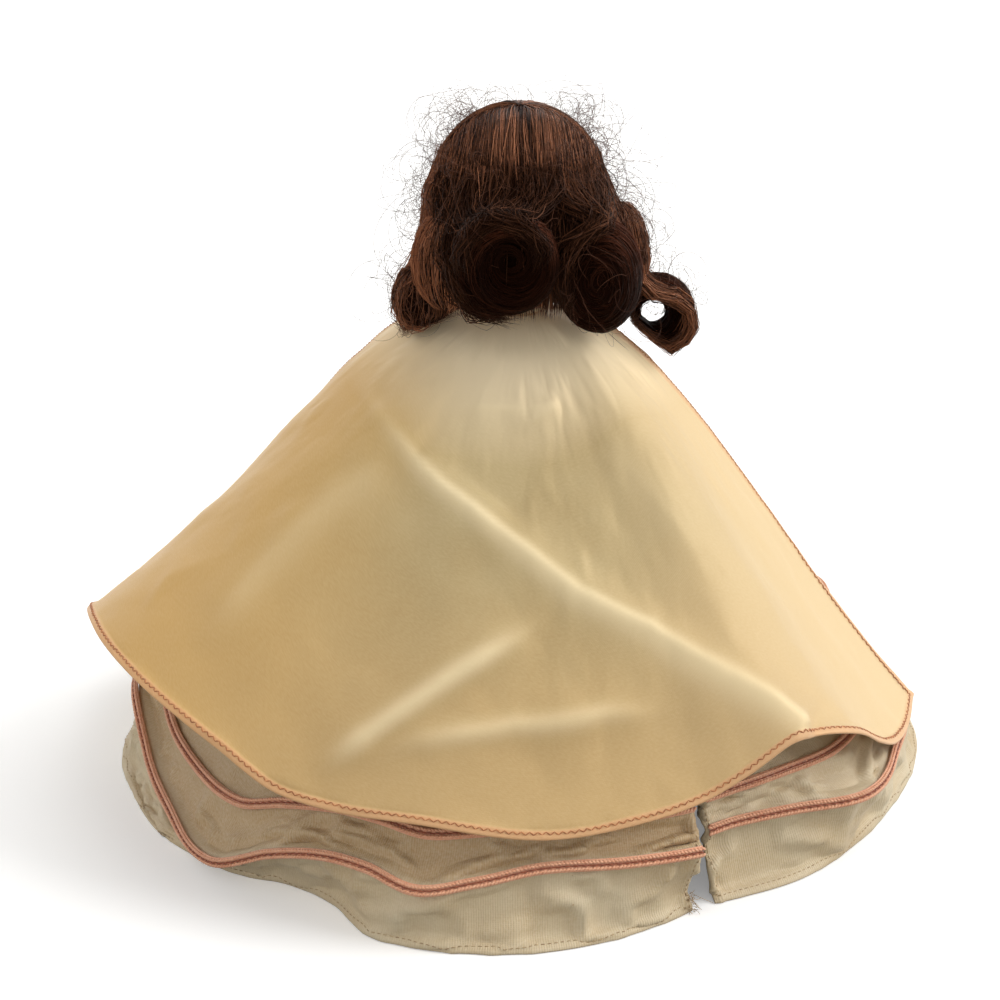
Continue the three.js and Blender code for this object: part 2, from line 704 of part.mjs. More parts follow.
function creaseLift(bearing, share) {
  const place = (b, s) =>
    new THREE.Vector2(b * degree * (capeNeckRadius + s * capeHemRadius), s * capeSlope);
  const here = place(bearing, share);
  let lift = 0;
  for (const { height, half, stations } of capeCreases) {
    let nearest = far;
    for (let i = 0; i + 1 < stations.length; i++) {
      const from = place(...stations[i]);
      const run = place(...stations[i + 1]).sub(from);
      const reach = here.clone().sub(from);
      const t = Math.min(Math.max(reach.dot(run) / run.lengthSq(), 0), 1);
      nearest = Math.min(nearest, reach.addScaledVector(run, -t).length());
    }
    lift += height * Math.exp(-((nearest / half) ** 2));
  }
  return lift;
}

function capePoint(column, share) {
  const [neckEdge, hemEdge] = column < 0 ? capeRightEdge : capeLeftEdge;
  const bearing = (Math.abs(column) / 100) * (neckEdge + (hemEdge - neckEdge) * share);
  const hemAt = capeHemRadius + follow(capeHem, bearing, 1);
  const hemZ = capeHemHeight + follow(capeHem, bearing, 2);
  const radius = capeNeckRadius + (hemAt - capeNeckRadius) * share;
  const fade = follow(capeShoulder, bearing, 2);
  const peak = fade ** fade / (fade + 1) ** (fade + 1);
  const swell = (follow(capeShoulder, bearing, 1) * share * (1 - share) ** fade) / peak;
  const lift = creaseLift(bearing, share);
  const z = capeNeckHeight + (hemZ - capeNeckHeight) * share + swell;
  return around(bearing, radius + lift * 0.6, z + lift * 0.7);
}

const capeRows = [0, 0.08, 0.18, 0.3, 0.42, 0.54, 0.65, 0.75, 0.84, 0.92, 1];
add("cape", sheet(capePoint, spread(-100, 100, 43), capeRows, 0, clothThickness), satin);

const neckbandBottom = capeNeckHeight + 1 - neckbandHeight;
const neckbandPoint = (bearing, share) =>
  around(bearing, neckbandRadius, neckbandBottom + neckbandHeight * (1 - share));
add(
  "cape_neckband",
  sheet(neckbandPoint, spread(-174, 174, 25), [0, 1], 0, neckbandThickness),
  satin
);

// Neck bow: two loops, a knot and two short tails, in front of the neckband
const bowFront = neckbandRadius + neckbandThickness + gap;
const bowHeight = neckbandBottom + neckbandHeight / 2;
const ribbon = 1;

function bowBody() {
  const knotMiddle = at(0, -bowFront - bowDepth / 2, bowHeight);
  const parts = [solid(ball(knotMiddle, at(2, bowDepth / 2, 2.1), 10, 6))];
  for (const [, side] of sides) {
    const loopMiddle = at(side * bowWidth * 0.27, knotMiddle.y, bowHeight + 0.5);
    parts.push(solid(ball(loopMiddle, at(bowWidth * 0.23, bowDepth * 0.42, 2.7), 10, 6)));
    const tail = spread(0, 1, 4).map((share) => {
      const [x, y] = [side * (0.5 + 6.2 * share), knotMiddle.y - 0.8 * share];
      return levelOval(x, y, bowHeight - tailLength * share, 1.2 + 0.7 * share, ribbon / 2, 6);
    });
    parts.push(solid(loft(tail)));
  }
  return joined(...parts);
}
addBody("neck_bow", bowBody(), satin);

// Gown bodice: a strapless band round the chest, lapped at the back over a snap
const bodiceBottom = waistHeight - 2;
const lapLift = clothThickness + snapHeight + 2 * gap;
const eased = (t) => {
  const c = Math.min(Math.max(t, 0), 1);
  return c * c * (3 - 2 * c);
};
const lapRise = (bearing) => lapLift * eased((bearing - 318) / 26);
const bodiceEdge = (bearing) => bodiceTop + bodiceDip * Math.exp(-(((bearing - 180) / 42) ** 2));

function onTorso(bearing, z, offset) {
  const turn = bearing * degree;
  const middle = at(torsoWidth(z) * Math.sin(turn), torsoDepth(z) * Math.cos(turn), z);
  const out = at(torsoDepth(z) * Math.sin(turn), torsoWidth(z) * Math.cos(turn), 0).normalize();
  return middle.addScaledVector(out, offset);
}

const bodicePoint = (bearing, share) => {
  const z = bodiceEdge(bearing) + (bodiceBottom - bodiceEdge(bearing)) * share;
  return onTorso(bearing, z, gap + lapRise(bearing));
};
const bodiceColumns = spread(-lapDegrees, 360 + lapDegrees, 34);
add("bodice", sheet(bodicePoint, bodiceColumns, [0, 0.45, 0.78, 1], 0, clothThickness), faille);

const snapZ = waistHeight + 8;
const snapY = torsoDepth(snapZ) + gap + clothThickness + gap;
const studPin = 0.7; // radius of the pin that clicks into the socket
const studBase = 0.5;
const socketFrom = snapY + studBase + gap;
const socketTo = snapY + snapHeight;
const snapPlace = at(0, 0, snapZ);
const stud = solid(bar("y", snapY, snapY + studBase, snapRadius, snapPlace));
addBody("snap_stud", stud.add(solid(bar("y", snapY, snapY + studBase * 2, studPin, snapPlace, 10))), steel);
const socket = solid(bar("y", socketFrom, socketTo, snapRadius, snapPlace));
const socketHole = bar("y", 0, snapY + studBase * 2 + gap, studPin + gap, snapPlace, 12);
addBody("snap_socket", socket.subtract(solid(socketHole)), steel);

const waistbandBottom = bodiceBottom + gap;
const waistbandPoint = (bearing, share) => {
  const lap = lapLift * (1 - eased((Math.abs(bearing) - lapDegrees - 6) / 40));
  const z = waistbandBottom + waistbandHeight * (1 - share);
  return onTorso(bearing, z, 3 * gap + clothThickness + lap);
};
add(
  "waistband",
  sheet(waistbandPoint, spread(-178, 178, 37), [0, 1], 0, waistbandThickness),
  braid
);

// Gown skirt: a gathered bell that reaches the floor, open at the back slit. Stations of bearing,
// lower braid out and up from its plain circle, and hem out from its plain circle.
const frontFolds = 5; // folds across the front
const frontFrom = 105;
const frontTo = 238;
const foldOut = 5;
const foldIn = -4;
const skirtStations = [
  [slitBearing, -0.5, 0, -7],
  [-15, -2, 0, -1],
  [-3, -2.5, 0, 3],
  [6, 2, -1.5, 4],
  [13, 5, -3, 4],
  [20, 2, -1, 2],
  [27, 1, -1, -6],
  [36, 1, -6, -8],
  [45, 5, -13, -2],
  [60, 1, -13, 3],
  [73, 0, -10, 4],
  [82, 1.5, 0, 5],
  [94, 2, 0, 3],
];
for (let fold = 0; fold <= 2 * frontFolds; fold++) {
  const bearing = frontFrom + ((frontTo - frontFrom) * fold) / (2 * frontFolds);
  const crest = fold % 2 === 0;
  skirtStations.push([bearing, crest ? foldOut : foldIn, crest ? 0 : 1, crest ? foldOut : foldIn]);
}
skirtStations.push(
  [254, -8, 0, 2],
  [268, -5, 0, 7],
  [282, 2.5, 0, 5],
  [294, 4, 0, 2],
  [307, 6.5, 0, 0],
  [317, -3, 0, -1],
  [326, -8, 0, -4],
  [360 + slitBearing, -8, 0, -6]
);
const skirtTop = bodiceBottom - gap - clothThickness / 2;
const waistRadius = (bearing) => {
  const turn = bearing * degree;
  const wide = torsoWidth(skirtTop) + gap;
  const deep = torsoDepth(skirtTop) + gap;
  return 1 / Math.hypot(Math.sin(turn) / wide, Math.cos(turn) / deep);
};

function skirtPoint(column, share) {
  const slit = 1 - (slitDegrees * share) / 360;
  const bearing = slitBearing + slitDegrees * share * 0.5 + column * slit + 0.3;
  const out = follow(skirtStations, bearing, 1);
  const up = follow(skirtStations, bearing, 2);
  const hem = follow(skirtStations, bearing, 3);
  const waist = waistRadius(bearing);
  const upper = upperBraidRadius + 0.35 * out;
  const upperZ = upperBraidHeight + 0.7 * up;
  const reach = upper - waist;
  const drop = skirtTop - upperZ;
  const profile = new THREE.CatmullRomCurve3([
    around(bearing, waist, skirtTop),
    around(bearing, waist + 0.35 * reach + 0.15 * out, skirtTop - 0.15 * drop),
    around(bearing, waist + 0.7 * reach + 0.25 * out, skirtTop - 0.56 * drop),
    around(bearing, upper, upperZ),
    around(bearing, braidRadius + out, braidHeight + up),
    around(bearing, hemRadius + hem, 0),
  ]);
  return profile.getPoint(share);
}

// Rows from waist to hem; a braid lies between the two rows either side of its bend
const upperBraidRows = [0.592, 0.622];
const lowerBraidRows = [0.782, 0.816];
const skirtColumns = [...spread(0, 120, 23), ...spread(127, 285, 20), ...spread(291.5, 359.4, 11)];
const skirtRows = [0, 0.1, 0.25, 0.42, ...upperBraidRows, ...lowerBraidRows, 1];
add("skirt", sheet(skirtPoint, skirtColumns, skirtRows, 0, clothThickness), faille);
const braidFrom = clothThickness + gap;
const braidTo = braidFrom + braidThickness;
add("braid_upper", sheet(skirtPoint, skirtColumns, upperBraidRows, braidFrom, braidTo), braid);
add("braid_lower", sheet(skirtPoint, skirtColumns, lowerBraidRows, braidFrom, braidTo), braid);

// Wig: a net cap glued to the head, crown hair over it, and rolled curls cut to fit each other
const hairPlane = (() => {
  const front = at(0, -headHalfDepth * 0.78, headHeight + hairlineFront);
  const back = at(0, headHalfDepth * 0.68, headHeight - hairlineBack);
  const run = back.clone().sub(front);
  const lean = Math.atan2(-run.z, run.y);
  const slab = box(at(-far, -far, 0), at(far, far, far)).rotateX(-lean);
  return solid(slab.translate(front.x, front.y, front.z));
})();
const capInner = gap;
const capOuter = gap + capThickness;
const hairInner = capOuter + gap;
const hairOuter = hairInner + hairThickness;
const wigCap = solid(headShape(capOuter)).subtract(solid(headShape(capInner))).intersect(hairPlane);
addBody("wig_cap", wigCap, capNet);
const crown = solid(headShape(hairOuter)).subtract(solid(headShape(hairInner))).intersect(hairPlane);
addBody("hair_crown", crown, hair);

// A roll of hair: a fat ring whose axis runs towards its opening
const roll = ({ middle, radius, thickness, length }) => (grow) => {
  const profile = Array.from({ length: 9 }, (_, i) => {
    const turn = (i / 8) * 2 * Math.PI;
    const across = radius - thickness + (thickness + grow) * Math.cos(turn);
    return new THREE.Vector2(across, (length / 2 + grow) * Math.sin(turn));
  });
  return new THREE.LatheGeometry(profile, 16).translate(middle.x, middle.y, middle.z);
};
const puff = ({ middle, halves }) => (grow) =>
  ball(middle, at(halves.x + grow, halves.y + grow, halves.z + grow), 12, 8);
const hairAt = (x, y, z) => at(x, y, headHeight + z);
const backOfHead = headHalfDepth + hairOuter;
const centreRoll = { middle: hairAt(3.5, backOfHead + 1.7, -9), radius: 13, thickness: 4.4, length: 12 };
const rightCurl = { middle: hairAt(-36.5, -5, -31.5), radius: 9.8, thickness: 3.6, length: 10 };
const rightRoll = { middle: hairAt(-20.2, 17, -15), halves: at(10.6, 9.5, 14.6) };
const leftRoll = { middle: hairAt(17.5, 16, -11.5), halves: at(9, 8.5, 12.5) };
const leftCurl = { middle: hairAt(24.5, 9, -23.5), halves: at(7.4, 7, 8.4) };
const rightSide = { middle: hairAt(-26, -2, -15.5), halves: at(7.5, 8, 14) };

// What the hair keeps clear of as the head turns: the cape's shoulders, swept round the neck
const shoulderSweep = [
  [0, neckEnd],
  [neckRadius + 1, neckEnd],
  [neckRadius + 1, capeNeckHeight + 1.3],
  [15, capeNeckHeight + 0.9],
  [22, capeNeckHeight + 0.2],
  [27, capeNeckHeight - 1.8],
  [36, capeNeckHeight - 9.4],
  [43, capeNeckHeight - 16],
  [60, capeNeckHeight - 30],
  [60, 0],
  [0, 0],
].map(([radius, z]) => new THREE.Vector2(radius, z + hairClear));
const sweep = solid(new THREE.LatheGeometry(shoulderSweep, 28).rotateX(Math.PI / 2));

const wave = (grow) => {
  const half = headHalfWidth + hairOuter - 0.6;
  const path = new THREE.CatmullRomCurve3([
    at(half * 0.99, 1, headHeight - 9),
    at(half * 0.97, -6, headHeight + 1),
    at(half * 0.7, -14.5, headHeight + 11),
    at(half * 0.25, -17.5, headHeight + 15.5),
    at(-half * 0.25, -17.5, headHeight + 15.5),
    at(-half * 0.7, -14.5, headHeight + 11),
    at(-half * 0.97, -6, headHeight + 1),
    at(-half * 0.99, 1, headHeight - 9),
  ]);
  const rings = spread(0, 1, 13).map((share) => {
    const along = path.getTangent(share);
    const up = at(0, -0.75, 0.66);
    const across = along.clone().cross(up).normalize();
    return oval(path.getPoint(share), across, along.cross(across).normalize(), 3.4 + grow, 3.4 + grow, 7);
  });
  return loft(rings);
};
const headFilled = joined(solid(headShape(gap)), solid(headShape(hairOuter + gap)).intersect(hairPlane));
const hairTaken = [headFilled, sweep];
const hairForms = [
  ["hair_wave_front", wave],
  ["hair_roll_centre", roll(centreRoll)],
  ["hair_roll_right", puff(rightRoll)],
  ["hair_roll_left", puff(leftRoll)],
  ["hair_curl_left", puff(leftCurl)],
  ["hair_side_right", puff(rightSide)],
  ["hair_curl_right", roll(rightCurl)],
];
for (const [name, form] of hairForms) {
  const piece = hairTaken.reduce((left, taken) => left.subtract(taken), solid(form(0)));
  addBody(name, piece, hair);
  hairTaken.push(solid(form(gap)));
}

export default doll;
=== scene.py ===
import math

import bpy
import numpy as np
from mathutils import Matrix


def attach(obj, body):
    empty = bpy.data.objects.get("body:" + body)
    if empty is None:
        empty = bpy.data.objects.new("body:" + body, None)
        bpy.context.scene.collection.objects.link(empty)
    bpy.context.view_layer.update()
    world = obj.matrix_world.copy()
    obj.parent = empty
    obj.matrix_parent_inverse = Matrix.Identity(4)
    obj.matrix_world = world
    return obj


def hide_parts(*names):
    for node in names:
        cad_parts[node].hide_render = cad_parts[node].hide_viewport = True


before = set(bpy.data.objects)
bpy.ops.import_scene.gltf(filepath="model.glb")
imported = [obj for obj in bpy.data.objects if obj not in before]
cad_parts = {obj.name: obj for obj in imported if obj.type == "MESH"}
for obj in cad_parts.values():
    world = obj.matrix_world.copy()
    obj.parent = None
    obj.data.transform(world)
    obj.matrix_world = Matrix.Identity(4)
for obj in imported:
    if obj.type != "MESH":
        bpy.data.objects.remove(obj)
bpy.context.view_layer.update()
scene = bpy.context.scene
mm = 0.001
degree = math.pi / 180
chance = np.random.default_rng(17)


def srgb(red, green, blue):
    value = np.array([red, green, blue]) / 255
    linear = np.where(value <= 0.04045, value / 12.92, ((value + 0.055) / 1.055) ** 2.4)
    return (*linear.tolist(), 1.0)


def socketOf(sockets, name):
    exact = [s for s in sockets if s.identifier == name]
    return exact[0] if exact else next(s for s in sockets if s.name == name)


def put(tree, kind, settings=None, values=None):
    node = tree.nodes.new(kind)
    for name, value in (settings or {}).items():
        setattr(node, name, value)
    for name, value in (values or {}).items():
        socket = socketOf(node.inputs, name)
        if isinstance(value, bpy.types.NodeSocket):
            tree.links.new(value, socket)
        else:
            socket.default_value = value
    return node


def result(tree, kind, values=None, settings=None):
    return put(tree, kind, settings, values).outputs[0]


def sums(tree, operation, *values):
    names = ["Value", "Value_001", "Value_002"]
    return result(tree, "ShaderNodeMath", dict(zip(names, values)), {"operation": operation})


def sumsOf(tree):  # plus, less and times for one tree
    plus = lambda first, second: sums(tree, "ADD", first, second)
    less = lambda first, second: sums(tree, "SUBTRACT", first, second)
    times = lambda first, second: sums(tree, "MULTIPLY", first, second)
    return plus, less, times


def vectorSum(tree, operation, first, second):
    values = {"Vector": first, "Vector_001": second}
    return result(tree, "ShaderNodeVectorMath", values, {"operation": operation})


def scaled(tree, vector, factor):
    return result(tree, "ShaderNodeVectorMath", {"Vector": vector, "Scale": factor}, {"operation": "SCALE"})


def mixed(tree, factor, first, second):
    values = {"Factor_Float": factor, "A_Color": first, "B_Color": second}
    return socketOf(put(tree, "ShaderNodeMix", {"data_type": "RGBA"}, values).outputs, "Result_Color")


def layered(tree, colour, layers):
    for factor, paint in layers:
        colour = mixed(tree, factor, colour, paint)
    return colour


def ranged(tree, value, low, high, toLow=0.0, toHigh=1.0):
    values = {"Value": value, "From Min": low, "From Max": high, "To Min": toLow, "To Max": toHigh}
    return put(tree, "ShaderNodeMapRange", None, values).outputs["Result"]


def attribute(tree, name):
    return put(tree, "ShaderNodeAttribute", {"attribute_name": name}).outputs["Fac"]


def noise(tree, vector, scale, detail=2.0, roughness=0.5):
    values = {"Vector": vector, "Scale": scale, "Detail": detail, "Roughness": roughness}
    return put(tree, "ShaderNodeTexNoise", None, values).outputs["Fac"]


def objectPlace(tree):
    return put(tree, "ShaderNodeTexCoord").outputs["Object"]


def newMaterial(name):
    made = bpy.data.materials.new(name)
    made.use_nodes = True
    made.node_tree.nodes.clear()
    return made, made.node_tree


def surface(tree, values):
    put(tree, "ShaderNodeOutputMaterial", None, {"Surface": result(tree, "ShaderNodeBsdfPrincipled", values)})


def groupTree(name, kind, inputs, outputs):  # an input is a default number or the word for its kind
    tree = bpy.data.node_groups.new(name, kind)
    for label, value in inputs.items():
        word = value if isinstance(value, str) else {float: "Float", int: "Int"}[type(value)]
        socket = tree.interface.new_socket(label, in_out="INPUT", socket_type="NodeSocket" + word)
        if word != value:
            socket.default_value = value
    for label, word in outputs.items():
        tree.interface.new_socket(label, in_out="OUTPUT", socket_type="NodeSocket" + word)
    return tree, tree.nodes.new("NodeGroupInput").outputs, tree.nodes.new("NodeGroupOutput").inputs


# Shared shader effects
def makeWeave():
    inputs = {"Vector": "Vector", "Rib": 0.7, "Thread": 0.25}
    tree, given, end = groupTree("weave", "ShaderNodeTree", inputs, {"Height": "Float", "Tint": "Float"})
    parts = put(tree, "ShaderNodeSeparateXYZ", None, {"Vector": given["Vector"]}).outputs
    drift, slub = noise(tree, given["Vector"], 0.09), noise(tree, given["Vector"], 1.4, 3.0)
    across = sums(tree, "MULTIPLY_ADD", drift, 0.8, parts["X"])

    def waved(place, pitch):
        turn = sums(tree, "MULTIPLY", place, 2 * math.pi)
        return sums(tree, "SINE", sums(tree, "DIVIDE", turn, pitch))

    rib, thread = waved(across, given["Rib"]), waved(parts["Y"], given["Thread"])
    tree.links.new(sums(tree, "MULTIPLY_ADD", thread, 0.35, rib), end["Height"])
    tree.links.new(sums(tree, "MULTIPLY_ADD", rib, 0.12, slub), end["Tint"])
    return tree


def makeMottle():
    inputs = {"Vector": "Vector", "Scale": 20.0}
    tree, given, end = groupTree("mottle", "ShaderNodeTree", inputs, {"Fac": "Float"})
    broad = noise(tree, given["Vector"], given["Scale"], 4.0, 0.6)
    tree.links.new(ranged(tree, broad, 0.35, 0.65), end["Fac"])
    return tree


weaveGroup = makeWeave()
mottleGroup = makeMottle()


def weave(tree, rib, thread):  # on the cloth's own map, in millimetres
    uv = result(tree, "ShaderNodeUVMap", None, {"uv_map": "cloth"})
    values = {"Vector": uv, "Rib": rib, "Thread": thread}
    return put(tree, "ShaderNodeGroup", {"node_tree": weaveGroup}, values).outputs


def mottle(tree, scale):
    values = {"Vector": objectPlace(tree), "Scale": scale}
    return put(tree, "ShaderNodeGroup", {"node_tree": mottleGroup}, values).outputs["Fac"]


def bumped(tree, height, distance, strength):
    values = {"Height": height, "Distance": distance, "Strength": strength}
    return result(tree, "ShaderNodeBump", values)


def plainFinish(name, dark, light, scale, values):
    made, tree = newMaterial(name)
    surface(tree, {"Base Color": mixed(tree, mottle(tree, scale), dark, light), **values})
    return made


def threadFinish(name, dark, light):
    return plainFinish(name, dark, light, 700.0, {"Roughness": 0.7, "Sheen Weight": 0.2})


# Meshes
def linked(name, mesh):
    made = bpy.data.objects.new(name, mesh)
    scene.collection.objects.link(made)
    return made


def dropped(piece):
    mesh = piece.data
    bpy.data.objects.remove(piece)
    bpy.data.meshes.remove(mesh)


def evaluated(piece):
    bpy.context.view_layer.update()
    return bpy.data.meshes.new_from_object(piece.evaluated_get(bpy.context.evaluated_depsgraph_get()))


def meshObject(name, points, faces, material, edges=()):
    mesh = bpy.data.meshes.new(name)
    mesh.from_pydata((np.asarray(points) * mm).tolist(), list(edges), np.asarray(faces).tolist())
    mesh.validate()
    mesh.update()
    if len(faces):
        mesh.shade_smooth()
    if material:
        mesh.materials.append(material)
    return linked(name, mesh)


def setAttribute(piece, name, values, kind="FLOAT"):
    layer = piece.data.attributes.new(name, kind, "POINT")
    key = "vector" if kind == "FLOAT_VECTOR" else "value"
    layer.data.foreach_set(key, np.asarray(values, np.float32).ravel())


def twice(layer):  # one value for each point of a cloth's two layers
    return np.concatenate([layer.ravel(), layer.ravel()])


def setUv(piece, across, down):
    layer = piece.data.uv_layers.new(name="cloth")
    index = np.zeros(len(piece.data.loops), np.int32)
    piece.data.loops.foreach_get("vertex_index", index)
    uv = np.stack([twice(across), twice(down)], -1)
    layer.data.foreach_set("uv", np.asarray(uv, np.float32)[index].ravel())


def placed(piece, bodyName, slotName, *nodes):
    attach(piece, bodyName)
    if nodes:
        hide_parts(*nodes)
    return piece


def unit(vectors):
    return vectors / np.maximum(np.linalg.norm(vectors, axis=-1, keepdims=True), 1e-12)


def circle(count):
    return np.linspace(0, 2 * np.pi, count, endpoint=False)


def gridNormals(grid, closed=False):
    along = np.roll(grid, -1, 1) - np.roll(grid, 1, 1) if closed else np.gradient(grid, axis=1)
    return unit(np.cross(along, np.gradient(grid, axis=0)))


def gridIndex(rows, columns, closed):
    index = np.arange(rows * columns).reshape(rows, columns)
    return np.concatenate([index, index[:, :1]], axis=1) if closed else index


def gridQuads(index):
    return np.stack([index[:-1, :-1], index[:-1, 1:], index[1:, 1:], index[1:, :-1]], -1).reshape(-1, 4)


def clothSolid(name, grid, inner, outer, material, closed=False):
    rows, columns = grid.shape[:2]
    normals = gridNormals(grid, closed)
    layer = lambda depth: grid + normals * np.broadcast_to(depth, (rows, columns))[..., None]
    index, count = gridIndex(rows, columns, closed), rows * columns
    quads = gridQuads(index)
    rim = lambda start, end: np.stack([start, end, end + count, start + count], -1)
    first, last, left, right = index[0], index[-1], index[:, 0], index[:, -1]
    faces = [quads, quads[:, ::-1] + count, rim(first[1:], first[:-1]), rim(last[:-1], last[1:])]
    if not closed:
        faces += [rim(left[:-1], left[1:]), rim(right[1:], right[:-1])]
    points = np.concatenate([layer(outer).reshape(-1, 3), layer(inner).reshape(-1, 3)])
    points[:, 2] = np.maximum(points[:, 2], 0.0)  # nothing below the floor
    return meshObject(name, points, np.concatenate(faces), material), normals


def clothArea(grid):
    across, down = grid[:-1, 1:] - grid[:-1, :-1], grid[1:, :-1] - grid[:-1, :-1]
    return float(np.linalg.norm(np.cross(across, down), axis=-1).sum()) * mm * mm


def clothRuns(grid):  # lengths along each row, down to the hem and to the nearest edge
    across, down = (np.linalg.norm(np.diff(grid, axis=axis), axis=-1) for axis in (1, 0))
    run = np.concatenate([np.zeros((len(grid), 1)), np.cumsum(across, axis=1)], axis=1)
    toHem = np.concatenate([np.cumsum(down[::-1], axis=0)[::-1], np.zeros((1, grid.shape[1]))])
    return run, toHem, np.minimum(toHem, np.minimum(run, run[:, -1:] - run))


def turnedHem(toEdge, band, depth):
    return depth * (eased((band - toEdge) / 0.5 + 0.5) - 0.75 * eased(1 - toEdge / 0.45))


def seamLoop(run, toHem, line, top, inset):  # down one edge, along the hem and up the other edge
    nearest = lambda lengths: int(np.argmin(np.abs(lengths - inset)))
    low, first = nearest(toHem[:, toHem.shape[1] // 2]), nearest(run[line])
    last = nearest(run[line, -1] - run[line])
    loop = [(row, first) for row in range(top, low)] + [(low, column) for column in range(first, last)]
    return tuple(np.array(loop + [(row, last) for row in range(low, top, -1)]).T)


def follow(table, value, column):  # a smooth curve through a table's rows
    table = np.array(table, float)
    value = np.asarray(value, float)
    i = np.clip(np.searchsorted(table[:, 0], value, side="left") - 1, 0, len(table) - 2)
    low, high = np.maximum(i - 1, 0), np.minimum(i + 2, len(table) - 1)
    p, a, b, n = table[low], table[i], table[i + 1], table[high]
    step = b[..., 0] - a[..., 0]
    t = np.clip((value - a[..., 0]) / step, 0, 1)
    slopeA = (b[..., column] - p[..., column]) / (b[..., 0] - p[..., 0]) * step
    slopeB = (n[..., column] - a[..., column]) / (n[..., 0] - a[..., 0]) * step
    rise = b[..., column] - a[..., column]
    cubic = slopeA + slopeB - 2 * rise
    square = 3 * rise - 2 * slopeA - slopeB
    return a[..., column] + t * (slopeA + t * (square + t * cubic))


def around(bearing, radius, z):
    return np.stack([radius * np.sin(bearing * degree), radius * np.cos(bearing * degree), z], -1)


def between(before, a, b, beyond, t):  # one span of a centripetal spline
    d0, d1, d2 = (
        np.maximum(np.sum((q - p) ** 2, -1, keepdims=True) ** 0.25, 1e-4)
        for p, q in ((before, a), (a, b), (b, beyond))
    )
    t1 = ((a - before) / d0 - (b - before) / (d0 + d1) + (b - a) / d1) * d1
    t2 = ((b - a) / d1 - (beyond - a) / (d1 + d2) + (beyond - b) / d2) * d1
    return a + t * (t1 + t * (-3 * a + 3 * b - 2 * t1 - t2 + t * (2 * a - 2 * b + t1 + t2)))


def spline(points, shares):
    points = np.asarray(points, float)
    count = len(points)
    place = np.asarray(shares) * (count - 1)
    i = np.minimum(np.floor(place).astype(int), count - 2)
    before = np.where((i > 0)[:, None], points[np.maximum(i - 1, 0)], 2 * points[0] - points[1])
    after = points[np.minimum(i + 2, count - 1)]
    beyond = np.where((i + 2 < count)[:, None], after, 2 * points[-1] - points[-2])
    return between(before, points[i], points[i + 1], beyond, (place - i)[:, None])


def eased(value):
    c = np.clip(value, 0, 1)
    return c * c * (3 - 2 * c)


def softNoise(shape, coarse, seed):  # two octaves of smooth noise
    source = np.random.default_rng(seed)
    total = np.zeros(shape)
    for level, (rows, columns) in enumerate([coarse, (2 * coarse[0], 2 * coarse[1])]):
        knots = source.normal(size=(rows + 3, columns + 3))
        r, c = np.linspace(0, rows, shape[0]), np.linspace(0, columns, shape[1])
        i, j = np.minimum(r.astype(int), rows - 1), np.minimum(c.astype(int), columns - 1)
        u, v = eased(r - i)[:, None], eased(c - j)[None, :]
        block = lambda di, dj: knots[np.ix_(i + di, j + dj)]
        low = block(0, 0) * (1 - v) + block(0, 1) * v
        high = block(1, 0) * (1 - v) + block(1, 1) * v
        total += (low * (1 - u) + high * u) / (1 + level)
    return total


# Geometry Nodes that follow a path
def pathGroup(name, inputs):
    sockets = {"Geometry": "Geometry", **inputs, "Material": "Material"}
    tree, given, end = groupTree(name, "GeometryNodeTree", sockets, {"Geometry": "Geometry"})
    return tree, given, end, result(tree, "GeometryNodeMeshToCurve", {"Mesh": given["Geometry"]})


def closeGroup(tree, given, end, shape):
    smooth = result(tree, "GeometryNodeSetShadeSmooth", {"Geometry": shape})
    whole = result(tree, "GeometryNodeRealizeInstances", {"Geometry": smooth})
    values = {"Geometry": whole, "Material": given["Material"]}
    tree.links.new(result(tree, "GeometryNodeSetMaterial", values), end["Geometry"])
    return tree


def named(tree, name, kind):
    return result(tree, "GeometryNodeInputNamedAttribute", {"Name": name}, {"data_type": kind})


def resampled(tree, line, length):
    return result(tree, "GeometryNodeResampleCurve", {"Curve": line, "Length": length}, {"mode": "LENGTH"})


def tubed(tree, line, sides, radius, caps):
    ring = result(tree, "GeometryNodeCurvePrimitiveCircle", {"Resolution": sides, "Radius": 1.0})
    values = {"Curve": line, "Profile Curve": ring, "Scale": radius, "Fill Caps": caps}
    return result(tree, "GeometryNodeCurveToMesh", values)


def makeThread():
    inputs = {"Pitch": 0.002, "Swing": 0.0, "Lift": 0.0002, "Dip": 0.0003, "Zigzag": 1.0, "Radius": 0.0002}
    tree, given, end, line = pathGroup("thread", inputs)
    plus, less, times = sumsOf(tree)
    line = resampled(tree, line, sums(tree, "DIVIDE", given["Pitch"], 4.0))
    turn = times(result(tree, "GeometryNodeInputIndex"), math.pi / 2)
    outward = named(tree, "outward", "FLOAT_VECTOR")
    across = vectorSum(tree, "CROSS_PRODUCT", outward, result(tree, "GeometryNodeInputTangent"))
    side = times(sums(tree, "COSINE", turn), given["Swing"])
    zigzag = times(sums(tree, "COSINE", times(turn, 2.0)), -1.0)
    running = times(sums(tree, "SINE", plus(turn, math.pi / 4)), math.sqrt(2))
    swell = plus(times(zigzag, given["Zigzag"]), times(running, less(1.0, given["Zigzag"])))
    half = times(plus(given["Lift"], given["Dip"]), 0.5)
    middle = times(less(given["Lift"], given["Dip"]), 0.5)
    height = sums(tree, "MULTIPLY_ADD", swell, half, middle)
    offset = vectorSum(tree, "ADD", scaled(tree, across, side), scaled(tree, outward, height))
    line = result(tree, "GeometryNodeSetPosition", {"Geometry": line, "Offset": offset})
    return closeGroup(tree, given, end, tubed(tree, line, 6, given["Radius"], True))


